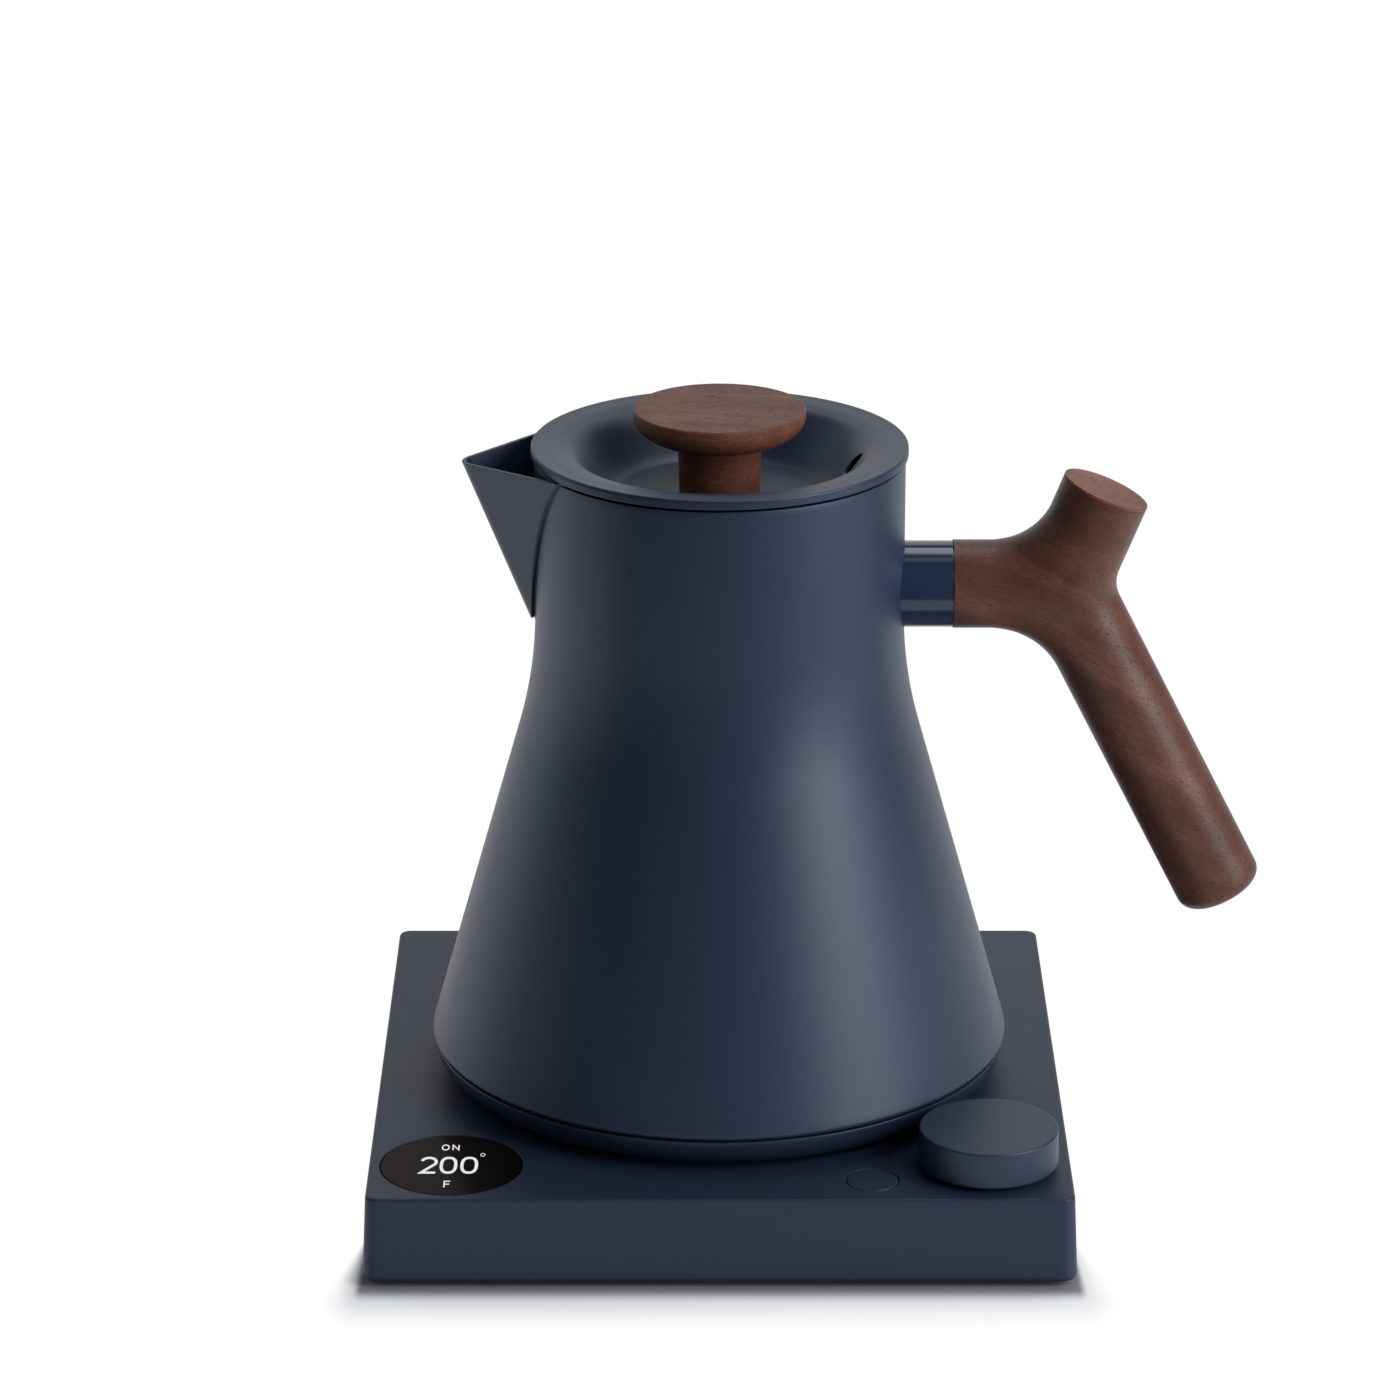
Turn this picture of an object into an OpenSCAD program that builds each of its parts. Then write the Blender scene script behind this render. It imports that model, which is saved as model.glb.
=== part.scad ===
// Electric pour-over kettle with a V-shaped beak, a branching wooden handle
// and a lid with a wooden knob, on a square heating base with a display,
// a flush button and a turning dial.  Millimetres, +Z up, +X towards the
// handle.  The origin is on the table, under the middle of the base.

/* [Base] */
// Width of the square base across its top
base_w = 170; // [164:1:190]
// Height of the base top above the table
base_top = 23.1; // [22:0.1:28]
// How far each side leans out from top to bottom
base_draft = 1; // [0.5:0.1:2]
// Corner radius of the base at its top
base_corner_r = 3; // [2:0.5:8]
// Chamfer on the top and bottom edges of the base
base_edge = 0.6; // [0.3:0.1:1]
// Thickness of the base side walls
base_wall = 2.2; // [1.8:0.1:3]
// Thickness of the base top
base_plate = 2.4; // [2:0.1:3]
// Thickness of the bottom cover of the base
base_cover_t = 2.2; // [1.8:0.1:2.6]
// Height of the feet below the base
foot_h = 1.5; // [1:0.1:3]
// Radius of a foot
foot_r = 8; // [6:0.5:10]
// Distance of a foot from each side of the base
foot_inset = 17; // [15:0.5:20]

/* [Controls] */
// Distance of the display and dial centres from the base sides
control_inset = 20; // [19:0.5:24]
// Radius of the round display glass
display_r = 17.15; // [14:0.05:17.2]
// Thickness of the display glass
display_t = 1.75; // [1.2:0.05:1.9]
// Radius of the dial at its top
dial_r = 16.8; // [14:0.1:18]
// Height of the dial
dial_h = 8.9; // [7:0.1:14]
// Shadow gap between the dial and the base
dial_gap = 1.3; // [1:0.1:3]
// Least clearance between the kettle and the dial
kettle_clear = 2.5; // [1:0.1:4]
// Distance from the dial centre to the button centre, along the front
button_dx = 28.3; // [27:0.1:32]
// Distance of the button centre from the front side of the base
button_inset = 11.4; // [11:0.1:14]
// Radius of the button
button_r = 6.25; // [5:0.05:6.5]
// Thickness of the control circuit board
board_t = 1.6; // [1:0.1:2]

/* [Kettle body] */
// Height of the kettle rim above the base top
kettle_h = 159.5; // [154:0.5:175]
// Radius of the straight neck
neck_r = 45.3; // [43:0.1:48]
// Radius of the body at its lower edge
body_r = 72.4; // [70:0.1:75]
// Slope of the flared body, from the vertical
flare_angle = 15.8; // [15:0.1:17]
// Radius of the blend between body and neck
neck_blend_r = 112; // [80:1:130]
// Radius of the rolled lower edge of the body
body_edge_r = 2; // [1.5:0.1:3]
// Thickness of the steel shell
shell_t = 0.9; // [0.6:0.05:1.2]
// Height of the lower edge of the steel body above the base top
skirt_h = 9.2; // [8.6:0.1:11]
// Height of the kettle floor above the lower edge of the steel body
floor_up = 5.7; // [5.5:0.1:8]
// Thickness of the aluminium heat plate
heat_plate_t = 3; // [2:0.1:3.1]
// Radius of the round path of the heating element
element_path_r = 45; // [42:0.5:48]

/* [Spout] */
// How far the sharp line of the beak lies from the kettle axis at its tip
beak_reach = 65; // [62:0.5:70]
// Lean of the beak's front edge, from the vertical
beak_lean = 22.2; // [20:0.1:24]
// Radius of the bend along the beak's front edge
beak_bend_r = 5; // [3:0.1:6]
// Drop of the beak's tip below the kettle rim
beak_drop = 1.45; // [1:0.05:4]
// Thickness of the beak's sheet
beak_t = 1; // [0.7:0.05:1.2]
// Radius of a pouring hole
pour_hole_r = 1.8; // [1.2:0.05:2]

/* [Handle] */
// Height of the handle arm's axis below the kettle rim
arm_drop = 32.9; // [30:0.1:38]
// Distance from the kettle axis to the point where the branches meet
joint_x = 84.6; // [82:0.1:92]
// Distance from the kettle axis to the end of the metal ferrule
ferrule_x = 57.2; // [56:0.1:60]
// Radius of the metal ferrule
ferrule_r = 10.65; // [9.5:0.05:11]
// Radius of the wooden arm and grip
grip_r = 10.83; // [10:0.01:12]
// Radius of the short upper branch
stub_r = 10.9; // [10:0.05:12]
// Lean of the grip from the vertical, going down
grip_lean = 27; // [24:0.5:32]
// Length of the grip from the point where the branches meet
grip_len = 91; // [80:1:98]
// Lean of the short upper branch from the vertical
stub_lean = 21.9; // [18:0.1:26]
// Length of the short upper branch, its end cap included
stub_len = 26.2; // [25:0.1:32]
// Thickness of the end cap on the upper branch
stub_cap_t = 0.8; // [0.6:0.1:1.5]
// Radius of the fillet between arm and upper branch
stub_fillet_r = 16; // [12:0.5:18]
// Radius of the fillet between arm and grip
grip_fillet_r = 19.5; // [14:0.5:22]
// Radius of the rounded edge at the grip's end
grip_end_r = 3.5; // [2:0.1:5]

/* [Lid] */
// Overhang of the lid's rim beyond the neck
lid_overhang = 0.7; // [0.3:0.1:1.5]
// Gap between the neck's rim and the lid
lid_gap = 0.76; // [0.5:0.02:1.2]
// Height of the lid's rim
lid_rim_h = 2.3; // [1.8:0.1:3.5]
// Radius where the lid starts to dip into its bowl
bowl_r = 37.5; // [36:0.5:39]
// Radius of the flat floor of the lid's bowl
bowl_floor_r = 24.5; // [22:0.5:28]
// Depth of the bowl below the kettle rim
bowl_depth = 9.1; // [7:0.1:9.6]
// Thickness of the lid's sheet
lid_t = 0.9; // [0.6:0.05:1.1]
// Radius of the steam vent
vent_r = 2.9; // [1.5:0.05:3]
// Distance of the steam vent from the kettle axis
vent_x = 32.2; // [28:0.1:34]
// Radius of the knob's flat top
knob_r = 21; // [18:0.5:24]
// Height of the knob's top above the kettle rim
knob_h = 12.1; // [11:0.1:18]
// Radius of the knob's stem at its foot
stem_r = 9.85; // [8:0.05:11]

/* [Power inlet] */
// Radius of the passage for the mains cord
cord_r = 3.6; // [3:0.1:4.5]
// Height of the cord's axis above the table
cord_z = 11.5; // [11:0.1:13]

/* [Hidden] */
$fn = 96;

// Clearances
fit = 0.05;        // running fit between a shaft and its bore, on radius
seat = 0.1;        // a piece that rests on another
gap = 0.3;         // a loose seat
big = 400;         // larger than the whole object
eps = 0.01;        // makes a cut run past a face
blend_in = 0.03;   // how far a bend lies inside the bars it joins

// Finishes
navy = [0.20, 0.24, 0.32];
dark_navy = [0.12, 0.14, 0.19];
walnut = [0.36, 0.23, 0.18];
black = [0.07, 0.07, 0.08];
steel = [0.72, 0.73, 0.75];
brass = [0.80, 0.66, 0.36];
copper = [0.78, 0.48, 0.32];
rubber = [0.15, 0.15, 0.16];
board_green = [0.10, 0.36, 0.22];
aluminium = [0.66, 0.67, 0.69];
grey = [0.5, 0.5, 0.52];
dark_grey = [0.27, 0.28, 0.3];
winding = [0.85, 0.78, 0.35];
relay_blue = [0.15, 0.25, 0.45];
terminal_green = [0.30, 0.45, 0.35];

// Base levels and places
half_top = base_w / 2;
plate_under = base_top - base_plate;
cover_top = foot_h + base_cover_t;
cover_half = half_top + base_draft - base_wall - 0.5;
corner_notch = 1.5 * base_corner_r;
foot_recess = 0.8;
foot_at = half_top - foot_inset;
foot_shift = 6;    // the feet lie closer together along Y than along X
feet_at = [for (x = [-foot_at, foot_at], y = [-foot_at + foot_shift, foot_at - foot_shift]) [x, y]];
slot_w = 2.4;
slot_l = 24;
slot_places = [29.2, 37.2, 45.2];
screw_r = 1.45;
screw_bore_r = 1.5;
screw_head_r = 3.1;
screw_head_h = 1.3;
screw_l = 12;
boss_r = 4;
rear_boss = half_top - base_wall - boss_r - 2.8;
front_boss_y = -half_top + control_inset + 25;
base_bosses = [[-rear_boss, rear_boss], [rear_boss, rear_boss],
               [-rear_boss, front_boss_y], [rear_boss, front_boss_y]];

// Power board and the parts on it
power_board_size = [112, 30];
power_from_rear = 22;    // from the rear side to the board's back edge
power_post_in = [6, 5];  // from the board's edges to its posts
power_board_at = [-power_board_size[0] / 2, half_top - power_from_rear - power_board_size[1]];
power_post_x = power_board_size[0] / 2 - power_post_in[0];
power_post_y = [power_board_at[1] + power_post_in[1], power_board_at[1] + power_board_size[1] - power_post_in[1]];
power_posts = [for (y = power_post_y, x = [-power_post_x, power_post_x]) [x, y]];
power_post_h = 2.3;
transformer_at = [-38, power_board_at[1] + 5];
transformer_size = [22, 18, 3];
winding_size = [16, 14, 7];
relay_at = [20, power_board_at[1] + 7];
relay_size = [19, 15, 9];
capacitor_at = [5, power_board_at[1] + 15];
capacitor_r = 5;
capacitor_h = 9;
terminal_at = [-12, power_board_at[1] + 8];
terminal_size = [10, 16, 8];
terminal_pitch = 5;

// Control places
display_at = [-half_top + control_inset, -half_top + control_inset];
dial_flare = 0.2;   // how much wider the dial is at its foot
cover_in = 0.8;     // from the edge of the kettle's body in to its cover's edge
dial_from_corner = half_top - control_inset;
dial_from_kettle = (body_r - cover_in + kettle_clear + dial_r + dial_flare) / sqrt(2);
dial_out = max(dial_from_corner, dial_from_kettle);
dial_at = [dial_out, -dial_out];
button_at = [dial_at[0] - button_dx, -half_top + button_inset];
ledge = 1.1;
glass_top = base_top - 0.1;
glass_under = glass_top - display_t;
board_z = cover_top + 4.3;
board_top = board_z + board_t;
part_z = board_top + seat;
power_z = cover_top + power_post_h;
power_top = power_z + board_t + seat;
board_front = -half_top + base_wall + 2;
board_half = half_top - base_wall - 3;
board_back = -half_top + control_inset + 16;
board_posts = [[display_at[0] + 23, board_back - 5], [dial_at[0] - 20, board_back - 5],
               [-18, board_front + 5], [18, board_front + 5]];
post_r = 3;
post_bore_r = 1.05;
board_hole_r = 1.2;
encoder_w = 14;
encoder_top = plate_under - 4;
bush_r = 3.5;
shaft_r = 2.5;
rotor_r = 4.45;
rotor_z = part_z + 1.5;
rotor_top = encoder_top - 1.4;
dial_z = base_top + dial_gap;
dial_top = dial_z + dial_h;
dial_travel = 0.5;
button_travel = 0.6;
button_flange = 1.7;
switch_top = part_z + 3.6;

// Socket in the base and plug under the kettle
hub_r = 19;
hub_top = base_top + 5.4;
hub_flange_r = 25;
socket_screw_path = 22;
socket_screw_angles = [90, 210, 330];
plug_screw_angles = [30, 150, 270];
tap_r = 1.2;       // bore that a small screw cuts its thread in
small_screw_r = 1.15;
hub_flange_z = plate_under - 3;
pin_r = 3.15;
ring_paths = [8.5, 14];
ring_t = 0.8;
groove_w = 2;
groove_z = plate_under + 0.3;
contact_t = 1;
tab_z = hub_flange_z - 3;
contact_tabs = [[0, 0], [0, ring_paths[0]], [0, ring_paths[1]]];
connector_under = hub_top + 0.6;
connector_top = connector_under + 3.2;
cup_r = hub_r + 0.6;
cup_wall = 1.9;
pin_z = base_top + 0.9;
pin_top = connector_top - 0.8;
connector_flange_r = cup_r + cup_wall + 5.5;
connector_screw_path = cup_r + cup_wall + 3;

// Kettle levels
rim_z = base_top + kettle_h;
shell_z = base_top + skirt_h;
floor_z = shell_z + floor_up;
floor_t = 0.8;
plate_z = floor_z - floor_t - heat_plate_t;
heat_plate_rim = 5;
heat_plate_r = element_path_r + heat_plate_rim;
element_r = 3.25;
element_z = plate_z - element_r - fit;
cold_pin_r = 1.2;
stud_path = 33;
stud_angles = [90, 210, 330];
stud_r = 3.5;
probe_at = [-24.2, 14];
probe_r = 3;
probe_h = 14;
cover_z = base_top + 1;
cover_t = 1.8;
cover_gap = 0.4;
cover_r = body_r - cover_in;
cover_bend = shell_z - cover_gap - cover_z;
foot_ring_r = cover_r - cover_bend - 2.5;
foot_ring_w = 3.5;
boss_top = cover_z + 3.9;
flange_z = cover_z + cover_t + seat;
connector_flange_t = 1.5;

// Flare and neck: the blend's centre, and the rolled edge's centre
tan_flare = tan(flare_angle);
cos_flare = cos(flare_angle);
sin_flare = sin(flare_angle);
corner_z = shell_z + (body_r - neck_r) / tan_flare;
blend_c = [neck_r + neck_blend_r, corner_z + neck_blend_r * tan(flare_angle / 2)];
edge_c = [flare_r(shell_z + body_edge_r) - body_edge_r / cos_flare, shell_z + body_edge_r];
lip_w = 2;
neck_in = neck_r - shell_t;

// Spout
beak_rim_slope = atan(beak_drop / (beak_reach - neck_r));
beak_side = 45;
pour_rows = 4;
pour_pitch = 6;
pour_step = 6.5;

// Handle
arm_z = rim_z - arm_drop;
stud_rod_r = 3;
stud_end_x = joint_x - 5;
past_joint = 4;    // the branches run on past their meeting point, inside each other
stub_bend_r = stub_fillet_r + grip_r;
grip_bend_r = grip_fillet_r + grip_r;
stub_turn = 90 - stub_lean;
grip_turn = 90 - grip_lean;
stub_tangent = stub_bend_r * tan(stub_turn / 2);
grip_tangent = grip_bend_r * tan(grip_turn / 2);
weight_r = 7;
weight_l = 11;

// Lid
lid_r = neck_r + lid_overhang;
lid_z = rim_z + lid_gap;
lid_top = lid_z + lid_rim_h;
bowl_z = rim_z - bowl_depth;
bowl_steps = 18;
liner_r = 42 + neck_r - 45.3;
liner_t = 1.2;
liner_plate_t = 1.4;
washer_t = 0.5;
liner_z = bowl_z - lid_t - washer_t - 2 * fit - liner_plate_t;
pour_top = liner_z - 4;
gasket_z = liner_z + 3;
gasket_h = 5.4;
gasket_flange = 1.5;
knob_top = rim_z + knob_h;
knob_foot = bowl_z + fit;
stem_top_r = stem_r + 0.35;
cup_z = rim_z + 3.8;
cup_h = 6.5;
knob_steps = 12;
insert_h = 10;
insert_r = 4;
knob_screw_r = 1.95;

// Power inlet
gland_r = cord_r + 1.9;
gland_y = half_top + base_draft;
gland_in = half_top - base_wall - 3;
gland_grip_r = gland_r + 1.5;
clamp_y = half_top - 15;
clamp_l = 28;
clamp_w = 8;
clamp_z = cord_z - cord_r - 1;
clamp_h = 2 * cord_r + 2.6;
clamp_screws_at = [[-10, clamp_y], [10, clamp_y]];

function flare_r(z) = body_r - (z - shell_z) * tan_flare;
function polar(r, a) = [r * cos(a), r * sin(a)];

// ---- Shared shapes -------------------------------------------------------

module ring(z, h, outer, inner) {
  translate([0, 0, z]) difference() {
    cylinder(h = h, r = outer);
    translate([0, 0, -eps]) cylinder(h = h + 2 * eps, r = inner);
  }
}

module at_each(places) {
  for (p = places) translate([p[0], p[1], 0]) children();
}

// Half outline of a drafted block, from the centre line out
module draft_outline(half_z0, half_z1, z0, z1, edge) {
  lean = (half_z0 - half_z1) / (z1 - z0);
  polygon([[0, z0], [half_z0 - edge, z0], [half_z0 - lean * edge, z0 + edge],
           [half_z1 + lean * edge, z1 - edge], [half_z1 - edge, z1], [0, z1]]);
}

// Square block with leaning sides and rounded corners
module draft_block(half_z0, half_z1, corner, z0, z1, edge) {
  straight = half_z1 - corner;
  for (a = [0 : 90 : 270]) rotate([0, 0, a]) {
    translate([0, straight, 0]) rotate([90, 0, 0])
      linear_extrude(2 * straight) draft_outline(half_z0, half_z1, z0, z1, edge);
    translate([straight, straight, 0]) rotate_extrude(angle = 90)
      draft_outline(half_z0 - straight, half_z1 - straight, z0, z1, edge);
  }
}

// Half outline of the kettle's outside, moved in by inset
module kettle_outline(inset, top) {
  edge = body_edge_r - inset;
  blend = neck_blend_r + inset;
  difference() {
    union() {
      polygon([[0, edge_c[1] - edge], [edge_c[0], edge_c[1] - edge],
               edge_c + edge * [cos_flare, sin_flare],
               blend_c - blend * [cos_flare, sin_flare],
               [neck_r - inset, blend_c[1]], [neck_r - inset, top], [0, top]]);
      translate(edge_c) circle(r = edge);
    }
    translate(blend_c) circle(r = blend, $fn = 360);
  }
}

module kettle_solid(grow) {
  rotate_extrude() kettle_outline(-grow, rim_z);
}

// ---- Kettle body ---------------------------------------------------------

module kettle_shell() {
  color(navy) difference() {
    rotate_extrude() difference() {
      kettle_outline(0, rim_z);
      kettle_outline(shell_t, rim_z + 1);
      translate([0, shell_z - 1]) square([edge_c[0] - lip_w, shell_t + 2]);
    }
    for (row = [0 : pour_rows - 1], k = [0 : row])
      rotate([0, 0, 180 + (k - row / 2) * pour_step])
        translate([0, 0, pour_top - (pour_rows - 1 - row) * pour_pitch])
          rotate([0, 90, 0]) cylinder(h = neck_r + 8, r = pour_hole_r, $fn = 32);
  }
}

// Cross-section of the folded sheet: two arms at right angles, bent between
module beak_section() {
  arm = 45;
  translate([beak_bend_r, 0]) square([arm - beak_bend_r, beak_t]);
  translate([0, beak_bend_r]) square([beak_t, arm - beak_bend_r]);
  intersection() {
    translate([beak_bend_r, beak_bend_r]) difference() {
      circle(r = beak_bend_r);
      circle(r = beak_bend_r - beak_t);
    }
    square(beak_bend_r);
  }
}

module spout() {
  drop = 60;
  rise = 20;
  color(navy) difference() {
    translate([-beak_reach, 0, rim_z - beak_drop]) rotate([0, -beak_lean, 0])
      translate([0, 0, -drop]) rotate([0, 0, -beak_side])
        linear_extrude(drop + rise) beak_section();
    translate([-beak_reach, -big / 2, rim_z - beak_drop])
      rotate([0, -beak_rim_slope, 0]) translate([-beak_reach, 0, 0]) cube([big / 2, big, beak_reach]);
    rotate_extrude() kettle_outline(-fit, rim_z + drop);
  }
}

module kettle_floor() {
  under = floor_z - floor_t;
  color(steel) difference() {
    rotate_extrude()
      polygon([[0, under], [flare_r(under) - shell_t / cos_flare - fit, under],
               [flare_r(floor_z) - shell_t / cos_flare - fit, floor_z], [0, floor_z]]);
    translate([probe_at[0], probe_at[1], under - 1]) cylinder(h = floor_t + 2, r = probe_r + fit);
  }
}

module heat_plate() {
  color(aluminium) difference() {
    union() {
      translate([0, 0, plate_z]) cylinder(h = heat_plate_t - fit, r = heat_plate_r);
      for (a = stud_angles) translate(concat(polar(stud_path, a), [boss_top + fit]))
        cylinder(h = plate_z - boss_top, r = stud_r);
    }
    translate([probe_at[0], probe_at[1], plate_z - 1]) cylinder(h = heat_plate_t + 2, r = probe_r + fit);
    for (a = stud_angles) translate(concat(polar(stud_path, a), [boss_top]))
      cylinder(h = plate_z - boss_top, r = screw_bore_r, $fn = 32);
  }
}

module heating_element() {
  pin_l = 6;
  color(grey) translate([0, 0, element_z]) {
    rotate([0, 0, 120]) rotate_extrude(angle = 300) translate([element_path_r, 0]) circle(r = element_r);
    for (side = [-1, 1]) rotate([0, 0, 90 + side * 30]) translate([element_path_r, 0, 0])
      rotate([side * 90, 0, 0]) cylinder(h = pin_l, r = cold_pin_r, $fn = 32);
  }
}

module thermal_cutout() {
  color(black) translate([0, -stud_path, plate_z - 3.5 - fit]) {
    cylinder(h = 3.5, r = 7);
    for (side = [-1, 1]) translate([side * 10 - 4, -3, 0]) cube([8, 6, 0.8]);
  }
}

module temperature_probe() {
  color(steel) translate([probe_at[0], probe_at[1], 0]) {
    translate([0, 0, plate_z - 1.6 - fit]) cylinder(h = 1.6, r = 5);
    translate([0, 0, plate_z - 1.6]) cylinder(h = floor_z + probe_h - plate_z + 1.6, r = probe_r);
    translate([0, 0, floor_z + probe_h]) sphere(r = probe_r);
  }
}

module probe_seal() {
  color(rubber) translate([probe_at[0], probe_at[1], 0]) ring(floor_z + fit, 1.2, 5, probe_r + fit);
}

// Half outline of the moulded cover that closes the kettle from below
module cover_outline() {
  bend_c = [cover_r - cover_bend, shell_z - cover_gap];
  locate_r = edge_c[0] - lip_w - gap;
  difference() {
    union() {
      intersection() {
        translate(bend_c) circle(r = cover_bend);
        translate([bend_c[0], cover_z - 1]) square([cover_bend + 1, cover_bend + 1]);
      }
      translate([0, cover_z]) square([bend_c[0], cover_bend]);
      translate([foot_ring_r - foot_ring_w, base_top + seat]) square([foot_ring_w, 2]);
    }
    intersection() {
      translate(bend_c) circle(r = cover_bend - cover_t);
      translate([bend_c[0], cover_z]) square([cover_bend, cover_bend + 1]);
    }
    translate([-1, cover_z + cover_t]) square([bend_c[0] + 1, cover_bend]);
  }
  translate([locate_r - 1.5, cover_z + cover_t / 2]) square([1.5, shell_z + 1.5 - cover_z - cover_t / 2]);
}

module bottom_cover() {
  color(dark_navy) difference() {
    union() {
      rotate_extrude() cover_outline();
      for (a = stud_angles) translate(concat(polar(stud_path, a), [cover_z]))
        cylinder(h = boss_top - cover_z, r = 5);
    }
    translate([0, 0, cover_z - 1]) cylinder(h = cover_t + 2, r = cup_r);
    for (a = stud_angles) translate(concat(polar(stud_path, a), [cover_z - 1])) {
      cylinder(h = 3, r = screw_head_r + gap, $fn = 48);
      cylinder(h = boss_top, r = screw_bore_r + 0.2, $fn = 32);
    }
    for (a = plug_screw_angles) translate(concat(polar(connector_screw_path, a), [cover_z + 0.4]))
      cylinder(h = cover_t, r = tap_r, $fn = 32);
  }
}

module bottom_screws() {
  color(steel) for (a = stud_angles) translate(concat(polar(stud_path, a), [cover_z + 0.4])) {
    cylinder(h = 1.6 - fit, r = screw_head_r);
    cylinder(h = plate_z - cover_z - 1, r = screw_r, $fn = 32);
  }
}

module kettle_connector() {
  color(black) difference() {
    union() {
      ring(flange_z, connector_top - flange_z, cup_r + cup_wall, cup_r);
      ring(flange_z, connector_flange_t, connector_flange_r, cup_r);
      translate([0, 0, connector_under]) cylinder(h = connector_top - connector_under, r = cup_r + cup_wall);
    }
    translate([0, 0, connector_under - 1]) cylinder(h = pin_top + gap - connector_under + 1, r = pin_r + fit);
    for (r = ring_paths) ring(connector_under - 1, 3, r + ring_t / 2, r - ring_t / 2);
    for (a = plug_screw_angles) translate(concat(polar(connector_screw_path, a), [flange_z - 1]))
      cylinder(h = 4, r = tap_r, $fn = 32);
  }
}

module connector_rings() {
  ring_z = groove_z + contact_t + 0.8;
  color(brass) for (r = ring_paths)
    ring(ring_z, connector_under + 2 - fit - ring_z, r + (ring_t - fit) / 2, r - (ring_t - fit) / 2);
}

module kettle_connector_screws() {
  flange_top = flange_z + connector_flange_t;
  color(steel) for (a = plug_screw_angles) translate(concat(polar(connector_screw_path, a), [0])) {
    translate([0, 0, flange_top]) cylinder(h = 1.2, r = 2, $fn = 48);
    translate([0, 0, cover_z + 0.5]) cylinder(h = flange_top - cover_z, r = small_screw_r, $fn = 32);
  }
}

// Two leads from the plug to the element's cold pins
module kettle_leads() {
  lead_r = 0.8;
  lead_z = element_z - cold_pin_r - lead_r - fit;
  color(copper) for (side = [-1, 1]) rotate([0, 0, 90 + side * 26])
    translate([cup_r + cup_wall + fit, 0, lead_z]) rotate([0, 90, 0])
      cylinder(h = element_path_r - cup_r - cup_wall + 2, r = lead_r, $fn = 32);
}

// ---- Handle --------------------------------------------------------------

module handle_ferrule() {
  face = 2;
  color(navy) difference() {
    translate([0, 0, arm_z]) rotate([0, 90, 0]) cylinder(h = ferrule_x, r = ferrule_r);
    translate([0, 0, arm_z]) rotate([0, 90, 0]) cylinder(h = ferrule_x - face, r = ferrule_r - 1.65);
    translate([0, 0, arm_z]) rotate([0, 90, 0]) cylinder(h = big, r = stud_rod_r + fit);
    kettle_solid(fit);
  }
}

module handle_stud() {
  plate_r = 8;
  color(steel) difference() {
    translate([0, 0, arm_z]) rotate([0, 90, 0]) {
      cylinder(h = neck_r + 3, r = plate_r);
      cylinder(h = stud_end_x - 1, r = stud_rod_r, $fn = 48);
    }
    kettle_solid(fit);
  }
}

// A branch of the handle: a straight round bar with a rounded far end
module grip_bar(length, end_r) {
  rotate_extrude() {
    square([grip_r, length - end_r]);
    square([grip_r - end_r, length]);
    intersection() {
      translate([grip_r - end_r, length - end_r]) circle(r = end_r);
      square([grip_r + 1, length + 1]);
    }
  }
}

// The inner bend that joins the arm to a branch; turn is the change of direction.
// It starts and ends just inside the round bars, so its ends leave no edge.
module grip_bend(bend_r, turn) {
  rotate([90, 0, 0]) rotate_extrude(angle = turn) translate([bend_r, 0]) circle(r = grip_r - blend_in);
}

module handle_grip() {
  arm_x = ferrule_x + fit;
  color(walnut) difference() {
    union() {
      translate([arm_x, 0, arm_z]) rotate([0, 90, 0]) cylinder(h = joint_x - arm_x, r = grip_r);
      translate([joint_x, 0, arm_z]) rotate([0, stub_lean, 0]) translate([0, 0, -past_joint])
        cylinder(h = stub_len - stub_cap_t - fit + past_joint, r = stub_r);
      translate([joint_x, 0, arm_z]) rotate([0, 180 - grip_lean, 0]) translate([0, 0, -past_joint])
        grip_bar(grip_len + past_joint, grip_end_r);
      translate([joint_x - stub_tangent, 0, arm_z + stub_bend_r])
        rotate([0, 90, 0]) grip_bend(stub_bend_r, stub_turn);
      translate([joint_x - grip_tangent, 0, arm_z - grip_bend_r])
        mirror([0, 0, 1]) rotate([0, 90, 0]) grip_bend(grip_bend_r, grip_turn);
    }
    translate([0, 0, arm_z]) rotate([0, 90, 0]) cylinder(h = stud_end_x, r = stud_rod_r + fit, $fn = 48);
    translate([joint_x, 0, arm_z]) rotate([0, stub_lean, 0])
      translate([0, 0, stub_len - stub_cap_t - weight_l - 4]) cylinder(h = big, r = weight_r);
  }
}

module counterweight() {
  color(steel) translate([joint_x, 0, arm_z]) rotate([0, stub_lean, 0])
    translate([0, 0, stub_len - stub_cap_t - weight_l - 4 + fit]) cylinder(h = weight_l, r = weight_r - fit);
}

module stub_cap() {
  color(walnut) translate([joint_x, 0, arm_z]) rotate([0, stub_lean, 0]) {
    translate([0, 0, stub_len - stub_cap_t]) cylinder(h = stub_cap_t, r = stub_r);
    translate([0, 0, stub_len - stub_cap_t - 3.5]) cylinder(h = 3.6, r = weight_r - fit);
  }
}

module contact_pin() {
  color(brass) translate([0, 0, pin_z]) cylinder(h = pin_top - pin_z, r = pin_r);
}

// ---- Lid -----------------------------------------------------------------

// Height of the lid's top surface inside the bowl, a smooth funnel
function bowl_height(r) =
  bowl_z + (lid_top - 0.4 - bowl_z) * (0.5 - 0.5 * cos(180 * (r - bowl_floor_r) / (bowl_r - bowl_floor_r)));

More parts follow.
